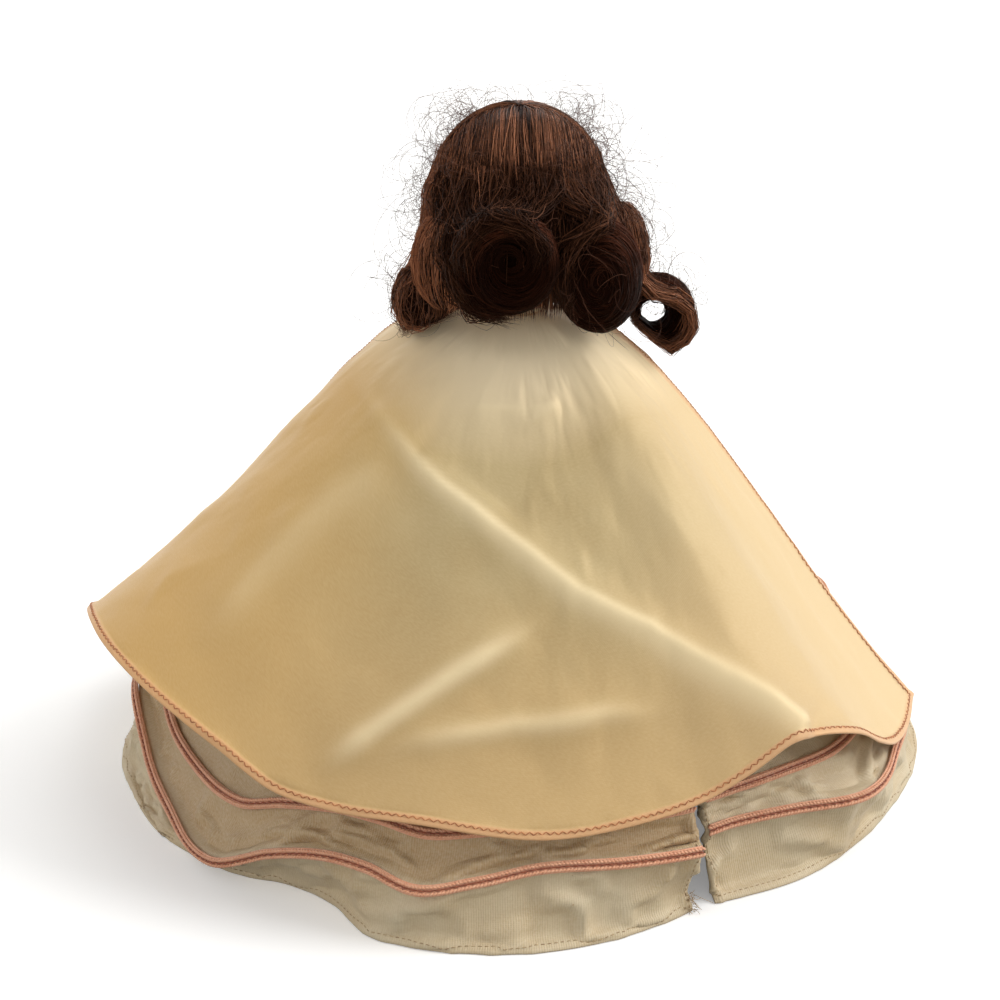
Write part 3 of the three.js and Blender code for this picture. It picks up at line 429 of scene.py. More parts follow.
def makePlait():
    inputs = {"Pitch": 0.001, "Spread": 0.0008, "Length": 0.0008, "Width": 0.0004, "Height": 0.0004}
    inputs["Slant"] = 0.6
    tree, given, end, line = pathGroup("plait", inputs)
    line = resampled(tree, line, given["Pitch"])
    outward, tangent = named(tree, "outward", "FLOAT_VECTOR"), result(tree, "GeometryNodeInputTangent")
    axes = {"Primary Axis": outward, "Secondary Axis": tangent}
    turn = result(tree, "FunctionNodeAxesToRotation", axes, {"primary_axis": "Z", "secondary_axis": "X"})
    vector = lambda **parts: result(tree, "ShaderNodeCombineXYZ", parts)
    lobe = result(tree, "GeometryNodeMeshUVSphere", {"Segments": 7, "Rings": 4, "Radius": 1.0})
    size = vector(X=given["Length"], Y=given["Width"], Z=given["Height"])
    lobe = result(tree, "GeometryNodeTransform", {"Geometry": lobe, "Scale": size})
    rails = put(tree, "GeometryNodeJoinGeometry")
    for side in (1.0, -1.0):
        lean = vector(Z=sums(tree, "MULTIPLY", given["Slant"], side))
        lean = result(tree, "FunctionNodeEulerToRotation", {"Euler": lean})
        place = vector(Y=sums(tree, "MULTIPLY", given["Spread"], side))
        values = {"Geometry": lobe, "Translation": place, "Rotation": lean}
        values = {"Points": line, "Instance": result(tree, "GeometryNodeTransform", values), "Rotation": turn}
        tree.links.new(result(tree, "GeometryNodeInstanceOnPoints", values), rails.inputs[0])
    return closeGroup(tree, given, end, rails.outputs[0])


def makeStrands():
    tree, given, end, line = pathGroup("strands", {"Sides": 3})
    girth = named(tree, "girth", "FLOAT")
    return closeGroup(tree, given, end, tubed(tree, line, given["Sides"], girth, False))


threadGroup = makeThread()
plaitGroup = makePlait()
strandGroup = makeStrands()


def grown(name, source, tree, values, material):  # what a node group makes of a path
    modifier = source.modifiers.new("grow", "NODES")
    modifier.node_group = tree
    values = {**values, "Material": material}
    for item in tree.interface.items_tree:
        if item.in_out == "INPUT" and item.name in values:
            modifier[item.identifier] = values[item.name]
    mesh = evaluated(source)
    mesh.name = name
    dropped(source)
    return linked(name, mesh)


def strandLines(paths):
    strands, steps = paths.shape[:2]
    index = np.arange(strands * steps).reshape(strands, steps)
    edges = np.stack([index[:, :-1], index[:, 1:]], -1).reshape(-1, 2).tolist()
    return meshObject("path", paths.reshape(-1, 3), [], None, edges)


def pathPiece(name, points, outward, tree, sizes, values, material):  # sizes in millimetres
    line = strandLines(points[None])
    setAttribute(line, "outward", outward, "FLOAT_VECTOR")
    values = {**values, **{label: size * mm for label, size in sizes.items()}}
    piece = grown(name, line, tree, values, material)
    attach(piece, "torso")
    return piece


def stitched(name, points, outward, material, sizes, zigzag=0.0):
    return pathPiece(name, points, outward, threadGroup, sizes, {"Zigzag": zigzag}, material)


# Stage: white floor, soft daylight from above, the photograph's camera
stage = {
    "floorHalf": 4.0, "floor": srgb(250, 250, 249), "bounce": srgb(150, 148, 142), "floorGlow": 0.22,
    "sky": (1.0, 0.985, 0.96, 1), "skyLight": 0.36, "skyShown": 0.64,
    "lamps": [  # name, place, power and breadth in degrees
        ("daylight", (-0.25, -0.05, 0.95), 0.5, 36), ("windowRight", (-0.85, -0.02, 0.58), 2.2, 45),
        ("windowLeft", (0.9, 0.1, 0.4), 0.65, 60), ("room", (0.1, 0.9, 0.36), 0.55, 60),
        ("windowFront", (0.25, -0.85, 0.45), 0.7, 60),
    ],
    "lens": 78.12, "sensor": 36, "camera": (0.0048, 0.544, 0.3035), "pitch": 66.9,
}


def shownRay(tree):  # rays that should see plain white
    path = put(tree, "ShaderNodeLightPath").outputs
    mirrored = sums(tree, "MAXIMUM", path["Is Glossy Ray"], path["Is Transmission Ray"])
    return sums(tree, "MAXIMUM", path["Is Camera Ray"], mirrored)


def makeStage():
    half = stage["floorHalf"] / mm
    corners = [(-half, -half, 0), (half, -half, 0), (half, half, 0), (-half, half, 0)]
    paint, tree = newMaterial("floorPaint")
    seen = shownRay(tree)
    tint = mixed(tree, seen, stage["bounce"], stage["floor"])
    plain = result(tree, "ShaderNodeBsdfDiffuse", {"Color": tint})
    glow = result(tree, "ShaderNodeEmission", {"Strength": sums(tree, "MULTIPLY", seen, stage["floorGlow"])})
    whole = result(tree, "ShaderNodeAddShader", {"Shader": plain, "Shader_001": glow})
    put(tree, "ShaderNodeOutputMaterial", None, {"Surface": whole})
    meshObject("floor", corners, [(0, 1, 2, 3)], paint)
    world = bpy.data.worlds.new("daylight")
    scene.world = world
    world.use_nodes = True
    sky = world.node_tree
    backdrop = sky.nodes["Background"].inputs
    backdrop["Color"].default_value = stage["sky"]
    light = sums(sky, "MULTIPLY_ADD", shownRay(sky), stage["skyShown"], stage["skyLight"])
    sky.links.new(light, backdrop["Strength"])
    for name, (x, y, z), power, breadth in stage["lamps"]:
        lamp = bpy.data.lights.new(name, "SUN")
        lamp.energy = power
        lamp.angle = breadth * degree
        holder = linked(name, lamp)
        holder.location = (x, y, z)
        holder.rotation_euler = (math.atan2(math.hypot(x, y), z), 0, math.atan2(y, x) + math.pi / 2)
    eye = bpy.data.cameras.new("photoCamera")
    eye.lens = stage["lens"]
    eye.sensor_width = stage["sensor"]
    eye.clip_start = 0.01
    holder = linked("photoCamera", eye)
    holder.location = stage["camera"]
    holder.rotation_euler = (stage["pitch"] * degree, 0, math.pi)
    scene.camera = holder
    scene.view_settings.view_transform = "Standard"


makeStage()
print("stage ready")

# Cape
cape = {
    "neckRadius": 9.2, "neckHeight": 127.2, "hemRadius": 108, "hemHeight": 30, "slope": 140,
    "leftEdge": (96, 108), "rightEdge": (-82, -80), "thickness": 0.45, "hemBand": 2.3, "hemFold": 0.3,
    "flare": 1.8,
    "hem": [
        [-90, 1.5, -8], [-78, 1.5, -8.5], [-70, 1.5, -9], [-60, 1, -4.5], [-50, 0, 7.5], [-40, -2.5, 12],
        [-32, -5, 5.5], [-26, -6.5, 1], [-16, -6.5, -1.5], [-3, -5, -2.5], [13, -2, 2], [24, 1, 3.5],
        [32, 4, 6.5], [40, 6, 14], [50, 8, 20], [62, 9, 23], [75, 9, 21.5], [90, 8, 9.5], [100, 6.5, 3],
        [108, 5.5, 0],
    ],
    "shoulder": [
        [-90, 14, 2.4], [-65, 12.5, 2.3], [-45, 9, 2.3], [0, 4, 2], [45, 5, 2.5], [70, 7.5, 3],
        [90, 13, 2.8], [112, 14, 2.6],
    ],
    "creases": [  # height, width on either side, fade at either end, then the line as bearing and share
        (5.2, (4.5, 12), (0.25, 0.04), [
            (80, 0.3), (45.5, 0.34), (34, 0.362), (7.7, 0.455), (-3.3, 0.516), (-12.3, 0.592), (-25, 0.685),
            (-34.4, 0.83), (-42, 1.0),
        ]),
        (4.4, (4, 9), (0.3, 0.25), [(-8.7, 0.612), (-2, 0.64), (10, 0.735), (19, 0.83), (28.5, 0.96)]),
        (3.4, (8, 5.5), (0.35, 0.35), [(24.4, 0.916), (15.6, 0.864), (1, 0.81), (-13.4, 0.804), (-29, 0.84)]),
        (1.4, (2.4, 5), (0.3, 0.2), [(30, 0.242), (9, 0.218), (-12.7, 0.226), (-22, 0.235)]),
        (1.2, (2.4, 3), (0.2, 0.4), [(-20, 0.233), (-5, 0.25), (-1, 0.285)]),
        (2.2, (14, 10), (0.2, 0.3), [(34, 0.362), (45, 0.515), (49, 0.685), (50, 0.905)]),
        (0.8, (1.6, 2.4), (0.4, 0.4), [(-15.4, 0.5), (-14.2, 0.59)]),
        (1.6, (9, 12), (0.3, 0.4), [(-27, 0.3), (-35.5, 0.474), (-41, 0.66)]),
        (0.7, (3, 3), (0.4, 0.4), [(58, 0.7), (66, 0.82), (62, 0.96)]),
        (-2.4, (7, 5), (0.4, 0.4), [(26, 0.345), (8, 0.4), (-6, 0.47)]),
    ],
    "wrinkles": [((9, 22), 5, 0.22), ((22, 50), 6, 0.07)], "pucker": 0.07, "puckerPitch": 3.1,
    "stitch": {"Pitch": 2.0, "Swing": 0.35, "Lift": 0.16, "Dip": 0.12, "Radius": 0.17}, "stitchInset": 1.45,
}


def creaseLift(bearing, share):  # height of the creases, and a painted highlight along their crests
    spread = lambda b, s: b * degree * (cape["neckRadius"] + s * cape["hemRadius"])
    across, down = spread(bearing, share), share * cape["slope"]
    lift, crestHighlights = np.zeros_like(across), np.zeros_like(across)
    for height, (wideHere, wideThere), (fadeIn, fadeOut), points in cape["creases"]:
        line = np.array([(spread(b, s), s * cape["slope"]) for b, s in points])
        lengths = np.linalg.norm(np.diff(line, axis=0), axis=1)
        nearest, lean, place = np.full(across.shape, 1e9), np.zeros_like(across), np.zeros_like(across)
        before = 0.0
        for start, end, length in zip(line[:-1], line[1:], lengths):
            run = (end - start) / length
            x, y = across - start[0], down - start[1]
            t = np.clip(x * run[0] + y * run[1], 0, length)
            gap = np.hypot(x - t * run[0], y - t * run[1])
            closer = gap < nearest
            lean = np.where(closer, (run[0] * y - run[1] * x) / np.maximum(gap, 1e-6), lean)
            place = np.where(closer, (before + t) / lengths.sum(), place)
            nearest = np.minimum(nearest, gap)
            before += length
        wide = wideThere + (wideHere - wideThere) * (0.5 + 0.5 * lean)
        fade = eased(place / fadeIn) * eased((1 - place) / fadeOut)
        crest = (np.sqrt(nearest**2 + 0.5) - 0.7) / wide
        lift += height * fade * np.exp(-crest)
        # painted highlight along each sharp crest
        crestHighlight = np.exp(-((nearest / (1 + 0.22 * wide)) ** 2)) * fade * fade
        crestHighlights = np.maximum(crestHighlights, crestHighlight * np.clip((height - 1) / 3.6, 0, 1))
    return lift, crestHighlights


def capeGrid(columns, shares):
    column, share = np.meshgrid(columns, shares)
    right = column < 0
    neckEdge = np.where(right, cape["rightEdge"][0], cape["leftEdge"][0])
    hemEdge = np.where(right, cape["rightEdge"][1], cape["leftEdge"][1])
    bearing = np.abs(column) / 100 * (neckEdge + (hemEdge - neckEdge) * share)
    hemAt = cape["hemRadius"] + follow(cape["hem"], bearing, 1)
    hemZ = cape["hemHeight"] + follow(cape["hem"], bearing, 2)
    radius = cape["neckRadius"] + (hemAt - cape["neckRadius"]) * share
    fade = follow(cape["shoulder"], bearing, 2)
    peak = fade**fade / (fade + 1) ** (fade + 1)
    swell = follow(cape["shoulder"], bearing, 1) * share * (1 - share) ** fade / peak
    lift, crestHighlights = creaseLift(bearing, share)
    z = cape["neckHeight"] + (hemZ - cape["neckHeight"]) * share + swell
    flare = cape["flare"] * np.exp(-(((bearing + 50) / 15) ** 2)) * eased((share - 0.955) / 0.05)
    return around(bearing, radius + lift * 0.6 + flare, z + lift * 0.7 + 0.5 * flare), crestHighlights


def hemRows(count):  # shares close together above the hem
    return 0.975 + 0.025 * np.linspace(0, 1, count)[1:]


def edgeDense(low, high, count, band, extra):  # columns close together at both edges
    inner = np.linspace(low + band, high - band, count)
    ease = np.linspace(0, 1, extra, endpoint=False) ** 1.6
    return np.concatenate([low + band * ease, inner, (high - band * ease)[::-1]])


def makeSatin():
    made, tree = newMaterial("capeSatin")
    grain, hem, side = weave(tree, 0.34, 0.5), attribute(tree, "hemShare"), attribute(tree, "paintedSideLight")
    part = lambda name, share: sums(tree, "MULTIPLY", attribute(tree, name), share)
    cream = mixed(tree, mottle(tree, 16.0), srgb(187, 167, 125), srgb(175, 150, 105))
    layers = [
        (ranged(tree, hem, 0.55, 1.0), srgb(195, 162, 112)),  # peach towards the hem
        (ranged(tree, side, 0.0, 1.0), srgb(205, 160, 88)),  # painted shade: deeper colour on the doll's left flank; the next layer is painted light on its right flank
        (ranged(tree, side, 0.0, -1.0), srgb(232, 204, 158)),
        (ranged(tree, hem, 0.34, 0.12), srgb(252, 232, 196)),  # painted light: paler at the neck, where the hair shades the cape
        # painted highlight along the crease crests
        (part("crest", 0.55), srgb(255, 236, 194)),
        (part("band", 0.55), srgb(222, 162, 122)),
        (ranged(tree, grain["Tint"], 0.3, 0.8, 0.0, 0.14), srgb(240, 225, 186)),
    ]
    gloss = srgb(255, 228, 176)
    values = {
        "Base Color": layered(tree, cream, layers), "Roughness": 0.42, "Specular IOR Level": 0.45,
        "Specular Tint": gloss, "Sheen Weight": 0.1, "Sheen Tint": gloss, "Sheen Roughness": 0.4,
        "Normal": bumped(tree, grain["Height"], 0.00002, 0.35),
    }
    surface(tree, values)
    return made


satin = makeSatin()
hemThread = threadFinish("hemThread", srgb(150, 90, 50), srgb(196, 128, 78))


def makeCape():
    shares = np.concatenate([np.linspace(0, 0.975, 116), hemRows(12)])
    grid, crestHighlights = capeGrid(edgeDense(-100, 100, 320, 1.6, 6), shares)
    shape = grid.shape[:2]
    wrinkle = sum(softNoise(shape, coarse, seed) * height for coarse, seed, height in cape["wrinkles"])
    calm = eased(shares / 0.15)[:, None]
    grid = grid + gridNormals(grid) * (np.maximum(wrinkle, -0.2) * calm)[..., None]
    run, toHem, toEdge = clothRuns(grid)
    fold = turnedHem(toEdge, cape["hemBand"], cape["hemFold"])
    pucker = cape["pucker"] * np.sin(run * 2 * math.pi / cape["puckerPitch"])
    pucker = pucker * np.exp(-(((toEdge - 1.6) / 1.1) ** 2))
    outer = cape["thickness"] + fold + pucker
    piece, normals = clothSolid("capeSatin", grid, 0.1 - 0.3 * fold, outer, satin)
    setUv(piece, run, toHem)
    bearing = np.degrees(np.arctan2(grid[..., 0], grid[..., 1]))
    layers = {
        "hemShare": np.broadcast_to(shares[:, None], shape),
        "band": eased((cape["hemBand"] - toEdge) / 0.6 + 0.5),
        # painted shade on the left flank, painted light on the right flank
        "paintedSideLight": eased((np.abs(bearing) - 15) / 60) * np.where(bearing > 0, 0.9, -0.9),
        "crest": crestHighlights,
    }
    for name, layer in layers.items():
        setAttribute(piece, name, twice(layer))
    placed(piece, "torso", "cape_satin", "cape")
    print("cape area", round(clothArea(grid), 4))
    loop = seamLoop(run, toHem, shape[0] // 2, 2, cape["stitchInset"])
    seam = grid + normals * (cape["thickness"] + cape["hemFold"])
    seamThread = stitched("capeStitches", seam[loop], normals[loop], hemThread, cape["stitch"], 1.0)


makeCape()
print("cape ready")

# Gown skirt and its two rows of braid
skirt = {
    "slitBearing": -27, "slitDegrees": 3.2, "top": 89.4, "waistHalves": (13.87, 10.56), "upperRadius": 97,
    "upperHeight": 28, "braidRadius": 104, "braidHeight": 19, "hemRadius": 106, "inner": 0.05,
    "thickness": 0.4, "hemBand": 2.2, "hemFold": 0.3, "upperBraid": 0.607, "lowerBraid": 0.799,
    "stations": [  # bearing, out at the lower braid, up there, out at the hem
        [-27, -0.5, 0, -7], [-15, -2, 0, -1], [-3, -2.5, 0, 3], [6, 2, -1.5, 4], [13, 5, -3, 4],
        [20, 2, -1, 2], [27, 1, -1, -6], [36, 1, -6, -8], [45, 5, -13, -2], [60, 1, -13, 3], [73, 0, -10, 4],
        [82, 1.5, 0, 5], [94, 2, 0, 3],
    ],
    "folds": 5, "foldFrom": 105, "foldTo": 238, "foldOut": 5, "foldIn": -4,
    "rest": [
        [254, -13, 0, 2], [268, -5, 0, 7], [282, 2.5, 0, 5], [294, 4, 0, 2], [307, 6.5, 0, 0],
        [317, -3, 0, -1], [326, -8, 0, -4], [333, -8, 0, -6],
    ],
    "creases": 150, "leftCrease": (110, 235), "anyCrease": (0, 690), "gathers": 46, "gatherDepth": 0.9,
    "crumpleDepth": 3.0, "stitchInset": 1.5,
    "stitch": {"Pitch": 1.6, "Lift": 0.1, "Dip": 0.2, "Radius": 0.12},
    "cord": {"Pitch": 0.92, "Spread": 0.8, "Length": 0.78, "Width": 0.42, "Height": 0.42},
    "braidStitch": {"Pitch": 2.1, "Lift": 0.3, "Dip": 0.2, "Radius": 0.2},
}


def skirtTable():
    folds, start, end = skirt["folds"], skirt["foldFrom"], skirt["foldTo"]
    table = list(skirt["stations"])
    for fold in range(2 * folds + 1):
        out = skirt["foldIn"] if fold % 2 else skirt["foldOut"]
        table.append([start + (end - start) * fold / (2 * folds), out, fold % 2, out])
    return table + skirt["rest"]


skirtStations = skirtTable()


def skirtRow(columns, share):
    slit = skirt["slitDegrees"] * share
    bearing = skirt["slitBearing"] + slit / 2 + columns * (1 - slit / 360) + 0.3
    out, up, hem = (follow(skirtStations, bearing, k) for k in (1, 2, 3))
    wide, deep = skirt["waistHalves"]
    turn = bearing * degree
    waist = 1 / np.hypot(np.sin(turn) / wide, np.cos(turn) / deep)
    upper, upperZ = skirt["upperRadius"] + 0.35 * out, skirt["upperHeight"] + 0.7 * up
    top, same = skirt["top"], np.ones_like(bearing)
    reach, drop = upper - waist, top - upperZ
    profile = [
        (waist, top * same), (waist + 0.35 * reach + 0.15 * out, top - 0.15 * drop),
        (waist + 0.7 * reach + 0.25 * out, top - 0.56 * drop), (upper, upperZ),
        (skirt["braidRadius"] + out, skirt["braidHeight"] + up), (skirt["hemRadius"] + hem, 0 * same),
    ]
    profile = np.array([np.stack(place, -1) for place in profile])
    spans = len(profile) - 1
    i = min(int(share * spans), spans - 1)
    a, b = profile[i], profile[i + 1]
    before = profile[i - 1] if i > 0 else 2 * a - b
    beyond = profile[i + 2] if i < spans - 1 else 2 * b - a
    flat = between(before, a, b, beyond, share * spans - i)
    return around(bearing, flat[:, 0], flat[:, 1])


def makeTaffeta():
    made, tree = newMaterial("ribbedTaffeta")
    grain = weave(tree, 0.62, 0.42)
    ivory = mixed(tree, mottle(tree, 24.0), srgb(207, 191, 159), srgb(193, 169, 129))
    layers = [
        # painted shade: darker tan where the cape covers the gown and inside the skirt
        (sums(tree, "MULTIPLY", attribute(tree, "paintedShade"), 0.7), srgb(168, 132, 82)),
        (ranged(tree, grain["Tint"], 0.3, 0.75, 0.0, 0.3), srgb(232, 220, 196)),
    ]
    values = {
        "Base Color": layered(tree, ivory, layers), "Roughness": 0.5, "Specular IOR Level": 0.4,
        "Sheen Weight": 0.1, "Normal": bumped(tree, grain["Height"], 0.00005, 0.6),
    }
    surface(tree, values)
    return made


def makePink():
    made, tree = newMaterial("pinkBraid")
    base = mixed(tree, mottle(tree, 260.0), srgb(212, 140, 104), srgb(226, 164, 128))
    fine = sums(tree, "MULTIPLY", mottle(tree, 1800.0), 0.4)
    lit = mixed(tree, fine, base, srgb(246, 204, 170))
    surface(tree, {"Base Color": lit, "Roughness": 0.5, "Sheen Weight": 0.25, "Specular IOR Level": 0.45})
    return made


taffeta = makeTaffeta()
gownThread = threadFinish("gownThread", srgb(142, 114, 82), srgb(192, 166, 126))
pink = makePink()
darkThread = threadFinish("braidStitch", srgb(122, 60, 38), srgb(160, 88, 56))


def plaited(name, points, outward, sizes):
    cords = pathPiece(name, points, outward, plaitGroup, sizes, {"Slant": 0.5}, pink)
    return cords


def frayed(name, corner, outward):
    source = np.random.default_rng(43)
    count, steps = 46, 9
    root = corner + source.normal(0, 1, (count, 3)) * np.array([0.7, 0.5, 0.0])
    root[:, 2] = source.uniform(0.2, 5.0, count)
    heading = unit(outward + source.normal(0, 0.7, (count, 3)))
    bend = source.normal(0, 0.35, (count, 3))
    t = np.linspace(0, 1, steps)[None, :, None] * source.uniform(1.5, 5.5, count)[:, None, None]
    paths = root[:, None] + heading[:, None] * t * 0.6 + bend[:, None] * t**2 * 0.16
    paths[..., 2] = np.maximum(paths[..., 2], 0.1)
    line = strandLines(paths)
    setAttribute(line, "girth", np.full(count * steps, 0.07 * mm))
    return placed(grown(name, line, strandGroup, {"Sides": 4}, gownThread), "torso", "ribbed_taffeta")


def crumpled(run, toHem):  # many small one-sided creases
    source = np.random.default_rng(37)
    total = np.zeros(np.broadcast(run, toHem).shape)
    for crease in range(skirt["creases"]):
        left = crease % 2 == 0
        span, behind, part = ("leftCrease", 0.15, 1.0) if left else ("anyCrease", 0.5, 0.8)
        x, y = run - source.uniform(*skirt[span]), toHem - source.uniform(2, 44)
        angle, long, wide = source.uniform(0, np.pi), source.uniform(5, 15), source.uniform(1.2, 3.4)
        u, v = x * np.cos(angle) + y * np.sin(angle), y * np.cos(angle) - x * np.sin(angle)
        depth = source.uniform(0.8, 2.6) * np.where(v > 0, 1.0, behind) * part
        total -= depth * np.exp(-np.sqrt(v**2 + 0.09) / wide) * np.exp(-((u / long) ** 2))
    return total


def makeSkirt():
    shares = np.concatenate([np.linspace(0, 0.56, 28), np.linspace(0.57, 0.975, 46), hemRows(8)])
    columns = edgeDense(0, 359.4, 380, 2.0, 6)
    grid = np.stack([skirtRow(columns, share) for share in shares])
    shape = grid.shape[:2]
    run, toHem, toEdge = clothRuns(grid)
    crumple = softNoise(shape, (12, 70), 31) * 0.4 + crumpled(run[-1][None], toHem)
    crumple = crumple - 2.2 * np.abs(softNoise(shape, (8, 62), 33))
    crumple = crumple - 0.5 * np.abs(softNoise(shape, (14, 110), 34))
    low = eased((shares - 0.45) / 0.25)[:, None] * eased((1 - shares) / 0.05 + 0.15)[:, None]
    for braid in (skirt["upperBraid"], skirt["lowerBraid"]):
        low = low * (1 - 0.8 * np.exp(-(((shares - braid) / 0.025) ** 2)))[:, None]
    turn = columns * degree
    gathers = -skirt["gatherDepth"] * (1 + np.sin(turn * skirt["gathers"] + 2 * np.sin(turn * 7)))
    high = (eased(shares / 0.06) * (1 - eased((shares - 0.1) / 0.5)))[:, None]
    crumple = np.clip(crumple - 0.2, -skirt["crumpleDepth"], 0.15)
    grid = grid + gridNormals(grid) * (crumple * low + gathers * high)[..., None]
    fold = turnedHem(toEdge, skirt["hemBand"], skirt["hemFold"])
    inner, outer = skirt["inner"], skirt["inner"] + skirt["thickness"]
    piece, normals = clothSolid("skirtTaffeta", grid, inner - 0.4 * fold, outer + fold, taffeta)
    setUv(piece, np.broadcast_to(run[-1], shape), toHem)
    upper = 0.5 * (1 - eased((shares[:, None] - 0.5) / 0.3))
    covered = 1 - eased((shares[:, None] - skirt["lowerBraid"]) / 0.05 + 1)
    backLeft = 1 - eased((columns - 105) / 30)
    shade = upper + (covered - upper) * backLeft  # painted shade: darker tan on the upper skirt under the cape, reaching down to the lower braid at the back left
    # the skirt's inner layer takes the full painted shade
    setAttribute(piece, "paintedShade", np.concatenate([shade.ravel(), np.ones(shade.size)]))
    placed(piece, "torso", "ribbed_taffeta", "skirt")
    print("skirt area", round(clothArea(grid), 4))
    loop = seamLoop(run, toHem, -1, shape[0] // 2, skirt["stitchInset"])
    seam = grid + normals * (outer + skirt["hemFold"])
    hemSeam = stitched("skirtStitches", seam[loop], normals[loop], gownThread, skirt["stitch"])
    tuft = frayed("frayedThreads", grid[-1, 2] + np.array([0, 0, 0.6]), normals[-1, 2])


def makeBraid(name, share, node):
    columns = np.linspace(0.25, 359.15, 800)
    nearby = np.stack([skirtRow(columns, share + step) for step in (-0.004, 0.0, 0.004)])
    middle, outward = nearby[1], gridNormals(nearby)[1]
    down = unit(nearby[2] - nearby[0])
    tape = np.stack([middle + down * half * 1.45 for half in np.linspace(-1, 1, 7)])
    base = clothSolid(name + "Tape", tape, 0.75, 1.25, pink)[0]
    placed(base, "torso", "pink_braid", node)
    cords = plaited(name + "Cords", middle + outward * 1.45, outward, skirt["cord"])
    sewn = stitched(name + "Stitches", middle + outward * 1.4, outward, darkThread, skirt["braidStitch"])


makeSkirt()
makeBraid("braidUpper", skirt["upperBraid"], "braid_upper")
makeBraid("braidLower", skirt["lowerBraid"], "braid_lower")
print("skirt and braids ready")

# Wig: dark rolled bases with mohair strands that follow each form
hair = {
    "middle": np.array([0.0, 0.0, 155.5]), "halves": np.array([20.0, 20.5, 22.0]),
    "inner": 1.35, "outer": 2.35,
    "sweep": [  # radius and height that the cape keeps clear
        (0.0, 129.7), (7.2, 129.7), (15, 129.3), (22, 128.6), (27, 126.6), (36, 119.0), (43, 112.4),
        (60, 98.4),
    ],
    "centreRoll": {"middle": (3.5, 25, 146.5), "outer": 13.0, "thick": 3.3, "lean": 0.4, "half": 6.0},
    "rightCurl": {"middle": (-36.5, -5, 124), "outer": 9.8, "thick": 3.0, "lean": -0.15, "half": 4.4},
    "rightRoll": {"middle": (-20.2, 17, 140.5), "halves": (10.6, 9.5, 14.6)},
    "leftRoll": {"middle": (17.5, 16, 144), "halves": (9, 8.5, 12.5)},
    "leftCurl": {"middle": (24.5, 9, 132), "halves": (7.4, 7, 8.4)},
    "rightSide": {"middle": (-26, -2, 140), "halves": (7.5, 8, 14)},
    "edgeGrow": 2.8, "edgeTilt": 0.9866, "edgeDrop": -2.786, "clumps": 170, "waveRadius": 3.4, "hollow": 11.2,
    "girth": 0.1, "top": 187.5, "looseSteps": 18, "gloss": srgb(190, 120, 84),
}


def hairFinish(name, dark, light, roughness, shine):
    made, tree = newMaterial(name)
    colour = mixed(tree, attribute(tree, "tone"), dark, light)
    gloss = {"Roughness": roughness, "Specular IOR Level": shine, "Specular Tint": hair["gloss"]}
    surface(tree, {"Base Color": colour, **gloss})
    return made


mohair = hairFinish("mohair", srgb(13, 4, 2), srgb(180, 120, 88), 0.4, 0.36)
rollHair = hairFinish("mohairRoll", srgb(8, 2, 1), srgb(120, 68, 48), 0.5, 0.2)
hairDark = hairFinish("mohairUnder", srgb(6, 2, 1), srgb(30, 12, 8), 0.8, 0.1)
frizzHair = hairFinish("mohairFrizz", srgb(58, 34, 26), srgb(130, 92, 74), 0.5, 0.4)


def drawn(low, high, count):
    return chance.uniform(low, high, count)[:, None]


def strayed(middle, wide, count):
    return chance.normal(middle, wide, count)[:, None]


def either(share, count):  # 1 or -1
    return np.where(chance.random(count) < share, 1, -1)


def girths(low, high, count):
    return chance.uniform(low, high, count) * hair["girth"]


def steps(count):
    return np.linspace(0, 1, count)[None]


def clearOfCape(points, room):
    sweep = np.array(hair["sweep"])
    reach = np.hypot(points[..., 0], points[..., 1])
    floor = np.interp(reach, sweep[:, 0], sweep[:, 1]) + room
    lifted = points.copy()
    lifted[..., 2] = np.maximum(points[..., 2], floor)
    return lifted


def outOfHead(points, grow):
    halves = hair["halves"] + grow
    local = (points - hair["middle"]) / halves
    reach = np.linalg.norm(local, axis=-1, keepdims=True)
    return np.where(reach < 1, hair["middle"] + local / np.maximum(reach, 1e-6) * halves, points)


def tidied(paths, grow=2.4, room=0.15):
    return clearOfCape(outOfHead(paths, grow), room)


def strandPiece(name, paths, girth, tones, material):
    strands, count = paths.shape[:2]
    line = strandLines(paths)
    t = np.linspace(0, 1, count)
    taper = np.minimum(1, 4 * (1.02 - t)) * np.minimum(1, 0.5 + 3 * t)
    setAttribute(line, "girth", girth.reshape(-1, 1) * taper[None] * mm)
    tones = np.clip(tones, 0, 1).reshape(strands, -1)
    setAttribute(line, "tone", np.broadcast_to(tones, (strands, count)))
    placed(grown(name, line, strandGroup, {"Sides": 3}, material), "head", "mohair")


def baseForm(name, grid, node, groove, seed):
    piece = clothSolid(name, grid, -0.6, 0.0, hairDark, True)[0]
    tone = softNoise(grid.shape[:2], groove, seed) * 0.25 + 0.35
    setAttribute(piece, "tone", np.clip(twice(tone), 0, 1))
    placed(piece, "head", "mohair", node)


def hairline(bearing):  # polar angle of the wig's edge
    halves = hair["halves"] + hair["edgeGrow"]
    lean = hair["edgeTilt"] * halves[1] * np.cos(bearing * degree)
    reach = np.hypot(halves[2], lean)
    return (np.arctan2(lean, halves[2]) + np.arccos(hair["edgeDrop"] / reach)) / degree


def onHead(bearing, polar, grow):
    turn, drop = bearing * degree, polar * degree
    x, y, z = (half + grow for half in hair["halves"])
    local = [x * np.sin(drop) * np.sin(turn), y * np.sin(drop) * np.cos(turn), z * np.cos(drop)]
    return np.stack(local, -1) + hair["middle"]


